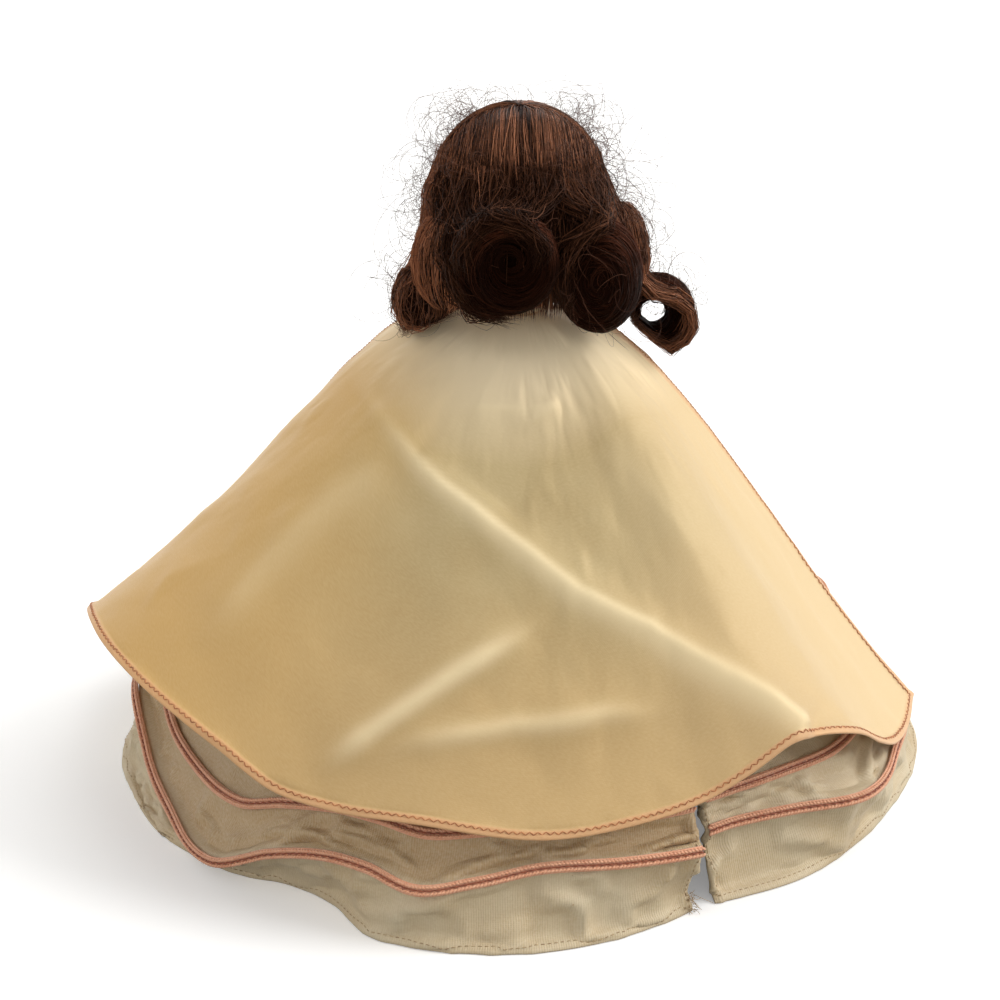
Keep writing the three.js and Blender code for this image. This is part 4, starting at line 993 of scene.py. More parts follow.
def makeCrown():
    bearings = np.linspace(-180, 180, 132, endpoint=False)
    polar = np.linspace(0.004, 1, 48)[:, None] * hairline(bearings)[None]
    ripple = softNoise((48, 132), (2, 60), 41) * 0.12
    ripple[:, -6:] = ripple[:, :1] + (ripple[:, -6:-5] - ripple[:, :1]) * np.linspace(1, 0, 6)
    grid = onHead(np.broadcast_to(bearings, polar.shape), polar, hair["outer"] + ripple)
    piece = clothSolid("hairCrownBase", grid, hair["inner"] - hair["outer"], 0.0, hairDark, True)[0]
    setAttribute(piece, "tone", twice(np.clip(0.4 + ripple * 2, 0, 1)))
    placed(piece, "head", "mohair", "hair_crown")
    strands, t = 1060, steps(12)
    for part in range(3):
        clump = chance.integers(0, hair["clumps"], strands)
        clumpBearing = chance.uniform(-180, 180, hair["clumps"])[clump]
        bearing0 = clumpBearing + chance.normal(0, 3.2, strands)
        top = chance.random(strands) < 0.62
        start = np.where(top, chance.uniform(2, 14, strands), chance.uniform(14, 62, strands))
        end = hairline(bearing0) * chance.uniform(0.8, 1.0, strands)
        end = np.where(np.abs(bearing0) < 70, np.minimum(end, chance.uniform(84, 104, strands)), end)
        start = np.minimum(start, end - 18)
        drift = strayed(0, 4.5, strands) * t**1.5
        pull = (clumpBearing - bearing0)[:, None] * 0.45 * t
        wave = strayed(0, 1.6, strands) * np.sin(t * drawn(3, 11, strands))
        polar = start[:, None] + (end - start)[:, None] * t
        back = np.abs(bearing0) < 88
        edge = np.sin(np.maximum(end, 60) * degree) * np.sin(bearing0 * degree)
        line = edge[:, None] * (0.72 + 0.28 * t) / np.sin(np.minimum(polar, 90) * degree)
        combed = np.degrees(np.arcsin(np.clip(line, -0.999, 0.999)))
        bearing = np.where(back[:, None], combed, bearing0[:, None]) + drift + pull + wave
        lift = drawn(0.15, 1.1, strands)
        grow = hair["outer"] + lift * (0.35 + 0.75 * np.sin(np.pi * np.clip(t * 0.9 + 0.05, 0, 1)))
        paths = onHead(bearing, polar, 0)
        paths = paths + unit(paths - hair["middle"]) * grow[..., None]
        clumpTone = chance.normal(0.0, 0.14, hair["clumps"])[clump] + 0.6 * (chance.random(strands) < 0.16)
        # painted shade low on the back of the crown, painted light in a band across its upper part
        shaded = 0.5 * eased((polar - 52) / 20) * np.exp(-((bearing / 42) ** 4))
        band = 0.24 * np.exp(-(((polar - 38) / 22) ** 2)) - shaded - 0.1 * eased((polar - 70) / 25)
        tones = clumpTone[:, None] + strayed(0, 0.3, strands) + band
        strandPiece(f"crownStrands{part}", paths, girths(0.5, 1.6, strands), tones, mohair)


def ringPoint(form, angle, tube, grow):
    x0, y0, z0 = form["middle"]
    thick = form["thick"] * (1 + form["lean"] * np.cos(angle))
    reach = form["outer"] - thick + (thick + grow) * np.cos(tube)
    y = y0 + (form["half"] + grow) * np.sin(tube)
    return np.stack([x0 + reach * np.cos(angle), y, z0 + reach * np.sin(angle)], -1)


def ballPoint(form, polar, turn, grow):
    middle, halves = np.array(form["middle"]), np.array(form["halves"]) + grow
    local = np.stack([np.sin(polar) * np.cos(turn), np.cos(polar), np.sin(polar) * np.sin(turn)], -1)
    return middle + local * halves


def makeRing(name, form, node, strands, spans, bright, loose):
    angle, tube = np.meshgrid(circle(72), np.linspace(0, 2 * np.pi, 40))
    grid = tidied(ringPoint(form, angle, -tube, -0.35))
    baseForm(name + "Base", grid, node, (14, 6), 50 + strands)
    t = steps(14)
    start = drawn(0, 2 * np.pi, strands)
    span = drawn(*spans, strands) * either(0.8, strands)[:, None]
    tube0 = drawn(-0.5 * np.pi, 1.15 * np.pi, strands)
    angles, tubes = start + span * t, tube0 + strayed(0.45, 0.35, strands) * t
    grow = drawn(-0.2, 0.55, strands) + loose * strayed(0, 1, strands) * t**2
    paths = tidied(ringPoint(form, angles, tubes, grow))
    # painted highlight on the strands over the top of the roll
    upper = np.clip(np.sin(angles), 0, 1) * np.clip(np.cos(tubes - 0.6), 0, 1)
    tones = 0.03 + strayed(0, 0.08, strands) + bright * upper * drawn(0.2, 1.4, strands)
    strandPiece(name + "Strands", paths, girths(0.6, 1.1, strands), tones, rollHair)


def makeBall(name, form, node, strands, rolled, base, bright):
    polar, turn = np.meshgrid(np.linspace(0.02, np.pi - 0.02, 40), circle(64), indexing="ij")
    grid = tidied(ballPoint(form, polar, -turn, -0.35))
    baseForm(name + "Base", grid, node, (16, 8), 70 + strands)
    middle, halves, t = np.array(form["middle"]), np.array(form["halves"]), steps(12)
    if rolled:
        turn0 = drawn(0, 2 * np.pi, strands)
        span = drawn(1.0, 2.7, strands) * -either(0.75, strands)[:, None]
        polar0 = drawn(0.25, 1.9, strands)
        paths = ballPoint(form, polar0 - drawn(0, 0.35, strands) * t, turn0 + span * t, 0)
        shine = np.clip(np.sin(turn0 + span * t - 0.5), 0, 1) ** 2 * eased((polar0 - 0.55) / 0.5)
    else:
        lean = drawn(-np.pi, np.pi, strands) + 0.25 * strayed(0, 1, strands) * t
        drop = drawn(0.1, 0.9, strands)
        drop = drop + (drawn(2.2, 2.95, strands) - drop) * t
        local = np.stack([np.sin(drop) * np.sin(lean), np.sin(drop) * np.cos(lean), np.cos(drop)], -1)
        paths = middle + local * halves
        shine = eased(1.3 - drop / 1.4)
    paths = paths + unit(paths - middle) * drawn(-0.15, 0.6, strands)[..., None]
    if not rolled:
        sway = np.sin(t * drawn(4, 12, strands) + drawn(0, 6, strands))
        paths = paths + sway[..., None] * chance.normal(0, 0.5, (strands, 1, 3))
    tones = base + strayed(0, 0.08 + base * 0.7, strands) + bright * shine
    finish = rollHair if rolled else mohair
    strandPiece(name + "Strands", tidied(paths), girths(0.6, 1.5, strands), tones, finish)


def wavePath():
    half = hair["halves"][0] + hair["edgeGrow"] - 0.6
    points = [(half * 0.99, 1, -9), (half * 0.97, -6, 1), (half * 0.7, -14.5, 11), (half * 0.25, -17.5, 15.5)]
    points += [(-x, y, z) for x, y, z in points[::-1]]
    return np.array(points) + hair["middle"]


def waveFrame(shares):
    path = wavePath()
    along = unit(spline(path, np.minimum(shares + 0.004, 1)) - spline(path, np.maximum(shares - 0.004, 0)))
    across = unit(np.cross(along, np.array([0, -0.75, 0.66])))
    return spline(path, shares), across, unit(np.cross(along, across))


def makeWave():
    middle, across, up = (part[:, None] for part in waveFrame(np.linspace(0, 1, 120)))
    turns = circle(36)[None, :, None]
    grid = middle + (hair["waveRadius"] - 0.4) * (across * np.cos(turns) + up * np.sin(turns))
    baseForm("hairWaveBase", tidied(grid, 2.3), "hair_wave_front", (40, 8), 93)
    strands, count = 960, 10
    t = steps(count)
    share = np.clip(drawn(-0.02, 1.02, strands) + strayed(0.0, 0.02, strands) * t, 0, 1)
    shift = np.where(share > 0.5, 1, -1) * drawn(0.0, 0.06, strands) * t
    share = np.clip(share + shift, 0, 1)
    middle, across, up = (part.reshape(strands, count, 3) for part in waveFrame(share.ravel()))
    start = drawn(-0.2, 2.4, strands)
    angle = start + drawn(1.6, 3.0, strands) * t
    reach = hair["waveRadius"] + drawn(-0.3, 0.5, strands)
    offset = across * np.cos(angle)[..., None] + up * np.sin(angle)[..., None]
    paths = tidied(middle + offset * reach[..., None], 1.6)
    tones = 0.34 + strayed(0, 0.14, strands) + 0.25 * np.sin(angle)
    strandPiece("waveStrands", paths, girths(0.7, 1.2, strands), tones, mohair)


def swept(controls, strands, count, scatter):  # strands scattered round one guide line
    controls = np.asarray(controls, float)
    shares = np.linspace(0, 1, count)
    loosened = lambda: controls + chance.normal(0, 1, controls.shape) * np.asarray(scatter)
    return np.stack([spline(loosened(), shares) for strand in range(strands)])


def bundle(bearings, roots, guide, strands, count, scatter):  # swept strands from a row of places on the head
    parts = []
    for bearing in np.linspace(*bearings):
        controls = [onHead(bearing, polar, grow) for polar, grow in roots] + guide(bearing)
        parts.append(swept(controls, strands, count, scatter))
    return np.concatenate(parts)


def makeSweeps():
    def leftGuide(bearing):
        x, y = 22 + (bearing - 28) * 0.05, 13 - (bearing - 28) * 0.13
        low = [(30.2, y - 1, 133.5), (29.0, y - 1, 126.5), (24.2, y, 124.6), (20.8, y, 128.0)]
        return [(x, y + 1, 142)] + low

    def rightGuide(bearing):
        y = 8 + (bearing + 40) * 0.17
        curl = [(-43.5, 128.5), (-45.2, 121.5), (-39.0, 115.8), (-31.5, 118.0), (-30.2, 124.0)]
        return [(-29.5, y, 141), (-33.0, y - 1, 133)] + [(x, y - 3, z) for x, z in curl]

    left = bundle((28, 112, 15), [(58.0, 2.7), (88.0, 3.2)], leftGuide, 50, 14, (0.8, 1.2, 0.8))
    right = bundle((-40, -118, 15), [(58.0, 2.7), (86.0, 3.2)], rightGuide, 46, 16, (0.9, 1.3, 0.9))
    for name, paths, bright in (("sweepLeft", left, 0.95), ("sweepRight", right, 0.45)):
        strands, count = paths.shape[:2]
        tones = bright - 0.28 * steps(count) + strayed(0, 0.3, strands)
        strandPiece(name, tidied(paths), girths(0.6, 1.7, strands), tones, mohair)


def makeNape():
    strands, t = 960, steps(8)[..., None]
    bearing = chance.uniform(-62, 56, strands)
    root = onHead(bearing, chance.uniform(84, 100, strands), 2.6)
    tip = root * np.array([1.0, 1.0, 0.0]) * drawn(0.78, 1.02, strands)
    tip[:, 0] += chance.normal(0, 1.6, strands)
    tip[:, 2] = chance.uniform(129.4, 133.5, strands)
    paths = root[:, None] + (tip - root)[:, None] * t
    paths[..., 1] += 1.6 * np.sin(np.pi * t[..., 0]) * strayed(0.4, 0.6, strands)
    tones = chance.normal(0.1, 0.1, strands)
    strandPiece("napeStrands", tidied(paths), chance.uniform(0.12, 0.2, strands), tones, mohair)


def makeHollow():
    x0, y0, z0 = hair["centreRoll"]["middle"]
    strands, t, wide = 260, steps(16), hair["hollow"]

    def bowl(reach, turn, back, deep):
        y = y0 - back + deep * (reach / wide) ** 2 + 0 * turn
        return np.stack([x0 - 1.2 + reach * np.cos(turn), y, z0 + reach * np.sin(turn)], -1)

    # painted shade: a black bowl of hair and near-black strands fill the roll's hollow
    reach, turn = np.meshgrid(np.linspace(0.15, wide, 16), circle(48), indexing="ij")
    piece = clothSolid("rollHollow", tidied(bowl(reach, turn, 1.0, 2.4), 3.0), 0.0, 0.4, hairDark, True)[0]
    setAttribute(piece, "tone", twice(np.zeros(reach.shape)))
    placed(piece, "head", "mohair")
    start = drawn(0, 2 * np.pi, strands)
    turn = start + drawn(1.2, 4.0, strands) * t
    paths = bowl(drawn(2, 10.6, strands) * (1 - 0.35 * t), turn, 0.0, 2.6)
    thin = chance.uniform(0.06, 0.12, strands)
    strandPiece("hollowStrands", paths, thin, chance.normal(0.0, 0.04, strands), rollHair)


def makeDrapes():
    x0, y0, z0 = hair["centreRoll"]["middle"]
    ring = lambda turn, reach, out: (x0 + reach * math.cos(turn), y0 + out, z0 + reach * math.sin(turn))

    def overRoll(bearing):
        way, start = 1 if bearing > 6 else -1, math.pi / 2 - bearing * 1.3 * degree
        guide = [(0, 13.6, 1.0), (0.25, 13.2, 5.0), (-0.5, 11.0, 6.3), (-1.1, 8.8, 4.6)]
        return [ring(start + turn * way, reach, out) for turn, reach, out in guide]

    right = [(-20.0, 22.0, 156.0), (-12.6, 25.2, 150.0), (-10.6, 25.4, 142.0), (-12.4, 24.8, 134.5)]
    left = [(17.5, 25.0, 149.0), (15.0, 28.0, 141.5), (10.0, 29.0, 135.0), (2.5, 29.5, 134.0)]
    drapes = [
        bundle((-26, 40, 16), [(56.0, 2.9), (72.0, 3.4)], overRoll, 26, 15, (1.5, 0.9, 0.9)),
        bundle((-26, -66, 9), [(58.0, 2.9), (76.0, 3.6)], lambda bearing: right, 24, 15, (1.6, 1.0, 1.4)),
        bundle((30, 62, 8), [(60.0, 2.9), (80.0, 3.6)], lambda bearing: left, 28, 15, (1.7, 1.0, 1.6)),
    ]
    paths = tidied(np.concatenate(drapes))
    strands, count = paths.shape[:2]
    t = steps(count)
    # painted shade: dark strands that darken towards their ends above the centre roll
    tones = 0.06 - 0.06 * t + strayed(0, 0.18, strands) * (1 - 0.7 * t)
    strandPiece("drapes", paths, girths(0.6, 1.7, strands), tones, mohair)


def curling(roots, ways, lengths, bends, outward):  # loose hairs that curl as they grow
    strands, count = len(roots), hair["looseSteps"]
    stride = (lengths / (count - 1))[:, None]
    heading = unit(ways * outward + chance.normal(0, 0.8, (strands, 3)))
    axis = unit(np.cross(heading, chance.normal(0, 1, (strands, 3))))
    bend = chance.uniform(*bends, strands) * either(0.5, strands)
    place = roots.copy()
    paths = np.empty((strands, count, 3))
    for step in range(count):
        paths[:, step] = place
        place = place + heading * stride
        turn = (bend * (0.8 + 0.4 * chance.random(strands)))[:, None]
        heading = unit(heading * np.cos(turn) + np.cross(axis, heading) * np.sin(turn))
        axis = unit(axis + chance.normal(0, 0.07, (strands, 3)))
        axis = unit(axis - heading * np.sum(axis * heading, -1, keepdims=True))
    paths[..., 2] = np.minimum(paths[..., 2], hair["top"] - drawn(0, 3, strands))
    return paths


def looseHair(bearing, polar, grow, lengths, bends, outward):
    roots = onHead(bearing, polar, grow)
    return curling(roots, unit(roots - hair["middle"]), lengths, bends, outward)


def armsReach(paths):  # loose hair that a raised arm would meet at some turn of the head
    shoulder, root, cone = 115, 15.6, 1.376
    reached = np.zeros(len(paths), bool)
    for turn in np.radians([-60, -30, 0, 30, 60]):
        x = paths[..., 0] * np.cos(turn) - paths[..., 1] * np.sin(turn)
        y = paths[..., 0] * np.sin(turn) + paths[..., 1] * np.cos(turn)
        swing = np.hypot(y, paths[..., 2] - shoulder) - cone * (np.abs(x) - root)
        near = (np.abs(swing) < 8) & (paths[..., 2] < 125) & (np.abs(x) > 12) & (y < 5)
        reached |= np.any(near, axis=1)
    return reached


def frizzPiece(name, paths, thin, thick):
    overFace = (paths[..., 1] < -7) & (paths[..., 2] < 166) & (np.abs(paths[..., 0]) < 20)
    paths = paths[~np.any(overFace, axis=1)]
    tones = chance.normal(0.3, 0.14, len(paths))
    strandPiece(name, tidied(paths, 2.4, 0.3), chance.uniform(thin, thick, len(paths)), tones, frizzHair)


def makeFrizz():
    bearing = chance.uniform(-180, 180, 380)
    polar = np.minimum(np.degrees(np.arccos(chance.uniform(-0.2, 0.98, 380))), hairline(bearing))
    lengths = chance.uniform(7, 22, 380) * (0.6 + polar / 100)
    long = looseHair(bearing, polar, 2.9, lengths, (0.14, 0.36), 0.5)
    bearing = np.where(chance.random(560) < 0.5, chance.uniform(52, 122, 560), chance.uniform(-122, -52, 560))
    polar = np.minimum(chance.uniform(28, 104, 560), hairline(bearing))
    halo = looseHair(bearing, polar, 2.8, chance.uniform(12, 40, 560), (0.16, 0.4), 0.4)
    bearing, polar = chance.uniform(-48, 48, 200), chance.uniform(48, 92, 200)
    wisps = looseHair(bearing, polar, 3.4, chance.uniform(5, 14, 200), (0.13, 0.36), 0.0)
    frizzPiece("frizzCrown", np.concatenate([long, halo, wisps]), 0.03, 0.055)
    roots, ways = [], []
    for name, count in (("leftCurl", 230), ("rightSide", 260), ("rightRoll", 80), ("leftRoll", 110)):
        ways.append(unit(chance.normal(0, 1, (count, 3))))
        roots.append(np.array(hair[name]["middle"]) + ways[-1] * np.array(hair[name]["halves"]))
    ways.append(unit(chance.normal(0, 1, (220, 3)) * np.array([1, 0.6, 1])))
    roots.append(np.array(hair["rightCurl"]["middle"]) + ways[-1] * np.array([9.6, 5, 9.6]))
    roots, ways = np.concatenate(roots), np.concatenate(ways)
    loops = curling(roots, ways, chance.uniform(8, 30, len(roots)), (0.14, 0.4), 0.45)
    hook = [(26, 7, 134), (29.5, 8, 128), (28, 10, 123), (22.5, 12, 121), (17, 14, 124)]
    hooks = swept(hook, 110, hair["looseSteps"], (1.8, 1.6, 1.4))
    frizzPiece("frizzCurls", np.concatenate([loops[~armsReach(loops)], hooks]), 0.03, 0.06)


makeCrown()
makeRing("rollCentre", hair["centreRoll"], "hair_roll_centre", 1050, (1.0, 3.4), 0.75, 0.0)
makeBall("rollRight", hair["rightRoll"], "hair_roll_right", 1050, True, 0.02, 0.3)
makeBall("rollLeft", hair["leftRoll"], "hair_roll_left", 780, False, 0.95, 0.25)
makeBall("curlLeft", hair["leftCurl"], "hair_curl_left", 460, False, 0.3, 0.1)
makeBall("sideRight", hair["rightSide"], "hair_side_right", 560, False, 0.24, 0.15)
makeRing("curlRight", hair["rightCurl"], "hair_curl_right", 520, (1.4, 4.5), 0.25, 0.5)
makeWave()
makeSweeps()
makeNape()
makeHollow()
makeDrapes()
makeFrizz()
print("hair ready")

# Hard-plastic body
body = {
    "stations": [
        [56, 8.25, 7.19], [60, 14.19, 10.44], [66, 16.5, 11.6], [75.1, 16.5, 11.6], [83.94, 14.75, 10.8],
        [92, 13, 10], [101.89, 14.2, 10.6], [109.94, 14.8, 10.6], [117, 13.4, 9.6], [121.5, 8.2, 7.8],
        [126, 6.7, 6.7],
    ],
    "wall": 1.5, "shoulder": 115, "shoulderFace": 13.6, "hip": 66, "hipFace": 7.0, "neckMiddle": 131.0,
    "neckRadius": 6.2, "neckTop": 144.5, "neckBore": (126.4, 146, 3.2), "neckDish": 6.5, "hole": 1.1,
    "armRoom": (13.3, 40, 6.8), "legRoom": (6.7, 40, 8.56), "inside": (1.6, 57.5, 120.5), "seamHalf": 0.06,
}
face = {
    "forms": [  # sideways, rise, out, wide, tall
        (0, -5.2, 1.9, 1.7, 2.3), (0, -1.6, 0.6, 1.4, 3.4), (1.5, -6.2, 0.45, 0.9, 0.8),
        (-1.5, -6.2, 0.45, 0.9, 0.8), (9, -7.5, 1.2, 5, 5), (-9, -7.5, 1.2, 5, 5), (0, -16.5, 1.3, 5, 3.6),
        (0, -10, 0.7, 2.6, 1.6), (1.1, -9.5, 0.35, 1.1, 0.6), (-1.1, -9.5, 0.35, 1.1, 0.6),
        (0, -11.0, 0.4, 1.5, 0.6), (0, -10.15, -0.3, 2.3, 0.28), (7.8, -1.5, -0.5, 4.6, 3.4),
        (-7.8, -1.5, -0.5, 4.6, 3.4), (7.5, 4.2, 0.3, 4.5, 1.4), (-7.5, 4.2, 0.3, 4.5, 1.4),
        (0, -12.6, -0.25, 2.4, 0.8),
    ],
    "eyeX": 7.8, "eyeY": -12.13, "eyeZ": 154.0, "eyeRadius": 4.2, "eyeBore": 1.0, "socket": 4.5,
    "opening": (3.2, 2.45), "seam": 1.0,
}


def inMillimetres(tree):
    place = scaled(tree, objectPlace(tree), 1000.0)
    return put(tree, "ShaderNodeSeparateXYZ", None, {"Vector": place}).outputs


def softMask(tree, value, edge):
    return ranged(tree, value, -edge, edge)


def paintFace(tree, colour):
    plus, less, times = sumsOf(tree)
    parts = inMillimetres(tree)
    size = lambda value: sums(tree, "ABSOLUTE", value)
    fading = lambda value: sums(tree, "EXPONENT", times(value, -1.0))
    mask = lambda value, edge: softMask(tree, value, edge)
    side, rise = size(parts["X"]), less(parts["Z"], hair["middle"][2])
    front = ranged(tree, parts["Y"], -8.0, -11.0)

    def squared(value, middle, half):
        return sums(tree, "POWER", size(sums(tree, "DIVIDE", less(value, middle), half)), 2.0)

    blush = fading(plus(squared(side, 10.5, 4.2), squared(rise, -7.6, 3.6)))
    dip = times(fading(squared(side, 0.0, 0.7)), 0.3)
    lips = plus(squared(side, 0.0, 3.0), squared(rise, -10.25, 1.35))
    line = times(mask(less(0.16, size(less(rise, -10.15))), 0.12), mask(less(2.5, side), 0.4))
    arch = sums(tree, "MULTIPLY_ADD", squared(side, 7.4, 1.0), -0.085, 5.3)
    thick = sums(tree, "MULTIPLY_ADD", squared(side, 7.6, 4.3), -0.42, 0.42)
    rim = sums(tree, "SQRT", plus(squared(side, 7.8, 3.2), squared(rise, -1.5, 2.45)))
    upper = mask(plus(rise, 1.0), 0.3)
    turn = sums(tree, "ARCTAN2", plus(rise, 1.5), less(side, 7.8))
    stripes = mask(less(sums(tree, "SINE", times(turn, 30.0)), 0.35), 0.3)
    paints = [
        (times(blush, 0.6), srgb(226, 122, 104)),
        (mask(less(1.0, plus(lips, dip)), 0.12), srgb(196, 58, 54)),
        (line, srgb(120, 30, 30)),  # between the lips
        (mask(less(thick, size(less(rise, arch))), 0.14), srgb(92, 56, 40)),  # brows
        (times(mask(less(1.16, rim), 0.05), upper), srgb(66, 36, 26)),  # edge of the upper lid
        (times(times(mask(less(1.55, rim), 0.1), stripes), upper), srgb(78, 44, 32)),  # lashes
    ]
    return layered(tree, colour, [(times(shape, front), paint) for shape, paint in paints])


def makeSkin(name, painted):
    made, tree = newMaterial(name)
    colour = mixed(tree, mottle(tree, 70.0), srgb(236, 190, 158), srgb(230, 180, 147))
    fine = noise(tree, objectPlace(tree), 2600.0)
    values = {
        "Base Color": paintFace(tree, colour) if painted else colour, "Roughness": 0.36,
        "Specular IOR Level": 0.45, "Subsurface Weight": 0.08, "Subsurface Scale": 0.0015,
        "Normal": bumped(tree, fine, 0.00001, 0.25),
    }
    surface(tree, values)
    return made


skinPlastic = makeSkin("skinPlastic", False)
facePaint = makeSkin("facePaint", True)


def ringMesh(name, rings, material=None):
    rings = np.asarray(rings)
    index = gridIndex(*rings.shape[:2], True)
    faces = gridQuads(index).tolist() + [index[0, :-1][::-1].tolist(), index[-1, :-1].tolist()]
    mesh = bpy.data.meshes.new(name)
    mesh.from_pydata((rings.reshape(-1, 3) * mm).tolist(), [], faces)
    mesh.validate()
    if material:
        mesh.materials.append(material)
    return linked(name, mesh)


def levelRings(stations, count):
    turns = circle(count)
    return [
        np.stack([x + wide * np.cos(turns), y + deep * np.sin(turns), np.full(count, z)], -1)
        for x, y, z, wide, deep in stations
    ]


def ballMesh(name, middle, halves, around=48, down=28, material=None):  # one radius or three halves
    x, y, z = middle
    wide, deep, tall = np.broadcast_to(halves, 3)
    turns = np.linspace(-np.pi / 2 + 0.02, np.pi / 2 - 0.02, down)
    stations = [(x, y, z + tall * math.sin(t), wide * math.cos(t), deep * math.cos(t)) for t in turns]
    return ringMesh(name, levelRings(stations, around), material)


def uprightRod(name, low, high, radius, count):
    return ringMesh(name, levelRings([(0, 0, z, radius, radius) for z in (low, high)], count))


def sideRod(name, side, start, end, radius, z, count=40):
    turns = circle(count)
    ring = lambda x: np.stack([np.full(count, x), radius * np.cos(turns), z + radius * np.sin(turns)], -1)
    return ringMesh(name, [ring(x) for x in sorted([side * start, side * end])])


def boxMesh(name, low, high):
    (x0, y0, z0), (x1, y1, z1) = low, high
    return ringMesh(name, [[(x0, y0, z), (x1, y0, z), (x1, y1, z), (x0, y1, z)] for z in (z0, z1)])


def settled(piece):
    mesh = evaluated(piece)
    mesh.name = piece.name
    piece.modifiers.clear()
    before = piece.data
    piece.data = mesh
    bpy.data.meshes.remove(before)


def cut(piece, tool, operation="DIFFERENCE"):
    modifier = piece.modifiers.new("cut", "BOOLEAN")
    modifier.object = tool
    modifier.operation = operation
    modifier.solver = "EXACT"
    settled(piece)
    dropped(tool)


def softened(piece, rounds):
    soft = piece.modifiers.new("soft", "SMOOTH")
    soft.factor = 0.5
    soft.iterations = rounds
    settled(piece)


def merged(name, parts, voxel):  # one smooth skin over several forms
    whole = parts[0]
    for part in parts[1:]:
        cut(whole, part, "UNION")
    whole.name = name
    melt = whole.modifiers.new("melt", "REMESH")
    melt.mode = "VOXEL"
    melt.voxel_size = voxel * mm
    softened(whole, 3)
    whole.data.materials.clear()
    whole.data.materials.append(skinPlastic)
    return whole


def finished(piece, bodyName, slotName, *nodes):
    piece.data.shade_smooth()
    piece.data.set_sharp_from_angle(angle=35 * degree)
    placed(piece, bodyName, slotName, *nodes)


def headRings(grow, count, rows, forms):
    lean = circle(count)
    rings = []
    for turn in np.linspace(-np.pi / 2 + 0.02, np.pi / 2 - 0.02, rows):
        flat = [np.cos(turn) * np.sin(lean), -np.cos(turn) * np.cos(lean), np.full(count, np.sin(turn))]
        way = np.stack(flat, -1)
        point = way * (hair["halves"] + grow)
        for sideways, rise, out, wide, tall in forms:
            near = np.exp(-(((point[:, 0] - sideways) / wide) ** 2 + ((point[:, 2] - rise) / tall) ** 2))
            point = point + way * (out * np.maximum(0, -way[:, 1]) * near)[:, None]
        rings.append(point + hair["middle"])
    return rings


def makeHead():
    neck, radius = body["neckMiddle"], body["neckRadius"]
    shell = ringMesh("headShell", headRings(0, 220, 150, face["forms"]), facePaint)
    cut(shell, uprightRod("neck", neck, body["neckTop"], radius, 64), "UNION")
    cut(shell, ballMesh("neckBall", (0, 0, neck), radius, 64, 32), "UNION")
    cut(shell, ringMesh("inside", headRings(-body["wall"] - 0.35, 64, 40, [])))
    cut(shell, uprightRod("bore", *body["neckBore"], 32))
    cut(shell, uprightRod("hookHole", 120, 130, body["hole"], 24))
    turns, (wide, tall) = circle(64), face["opening"]
    for side in (1, -1):
        x, z = side * face["eyeX"], face["eyeZ"]
        ring = lambda y: np.stack([x + wide * np.cos(turns), np.full(64, y), z + tall * np.sin(turns)], -1)
        cut(shell, ringMesh("opening", [ring(-12.5), ring(-40)]))
        cut(shell, ballMesh("socket", (x, face["eyeY"], z), face["socket"]))
    back = linked("headBack", shell.data.copy())
    far, front, rear = 200, face["seam"] - body["seamHalf"], face["seam"] + body["seamHalf"]
    cut(shell, boxMesh("half", (-far, -far, 0), (far, front, far + 100)), "INTERSECT")
    shell.name = "headFace"
    cut(back, boxMesh("half", (-far, rear, 0), (far, far, far + 100)), "INTERSECT")
    finished(shell, "head", "skin_plastic", "head_front")
    finished(back, "head", "skin_plastic", "head_back")


def eyeFinish():
    made, tree = newMaterial("eyePlastic")
    plus, less = sumsOf(tree)[:2]
    parts = inMillimetres(tree)
    across = less(sums(tree, "ABSOLUTE", parts["X"]), face["eyeX"])
    ahead, rise = less(face["eyeY"], parts["Y"]), less(parts["Z"], face["eyeZ"])
    squares = [sums(tree, "POWER", value, 2.0) for value in (across, plus(rise, 0.15))]
    reach = sums(tree, "SQRT", plus(*squares))
    streak = noise(tree, scaled(tree, objectPlace(tree), 1400.0), 1.0, 3.0)
    iris = mixed(tree, streak, srgb(52, 84, 128), srgb(132, 172, 206))
    iris = mixed(tree, ranged(tree, reach, 1.35, 1.8), iris, srgb(30, 46, 76))
    ball = [
        (softMask(tree, less(1.85, reach), 0.06), iris),
        (softMask(tree, less(0.85, reach), 0.06), srgb(12, 10, 10)),  # pupil
    ]
    height = less(sums(tree, "ARCTAN2", rise, ahead), 0.5)
    lid = [
        (softMask(tree, height, 0.02), srgb(226, 172, 140)),
        (softMask(tree, less(0.05, sums(tree, "ABSOLUTE", height)), 0.02), srgb(50, 28, 22)),  # lash line
    ]
    seen = layered(tree, srgb(238, 236, 230), ball)
    colour = layered(tree, mixed(tree, softMask(tree, ahead, 0.1), srgb(236, 232, 226), seen), lid)
    surface(tree, {"Base Color": colour, "Roughness": 0.12, "Specular IOR Level": 0.6, "Coat Weight": 0.5})
    return made


def makeEyes():
    paint = eyeFinish()
    radius, bore, turns = face["eyeRadius"], face["eyeBore"], circle(64)
    start = math.asin(bore / radius)
    profile = [(-radius * math.cos(t), radius * math.sin(t)) for t in np.linspace(start, np.pi - start, 40)]
    profile += [(x, bore) for x in np.linspace(profile[-1][0], profile[0][0], 6)[1:-1]]
    for name, side in (("Left", 1), ("Right", -1)):
        middle, y, z = side * face["eyeX"], face["eyeY"], face["eyeZ"]
        points = [
            (np.full(64, middle + x), y + r * np.cos(turns), z + r * np.sin(turns)) for x, r in profile
        ]
        grid = np.stack(points).swapaxes(1, 2)
        index = gridIndex(*grid.shape[:2], True)
        quads = gridQuads(np.concatenate([index, index[:1]]))
        piece = meshObject("eye" + name, grid.reshape(-1, 3), np.roll(quads, -1, axis=1), paint)
        finished(piece, "eyes", "eye_plastic", "eye_" + name.lower())


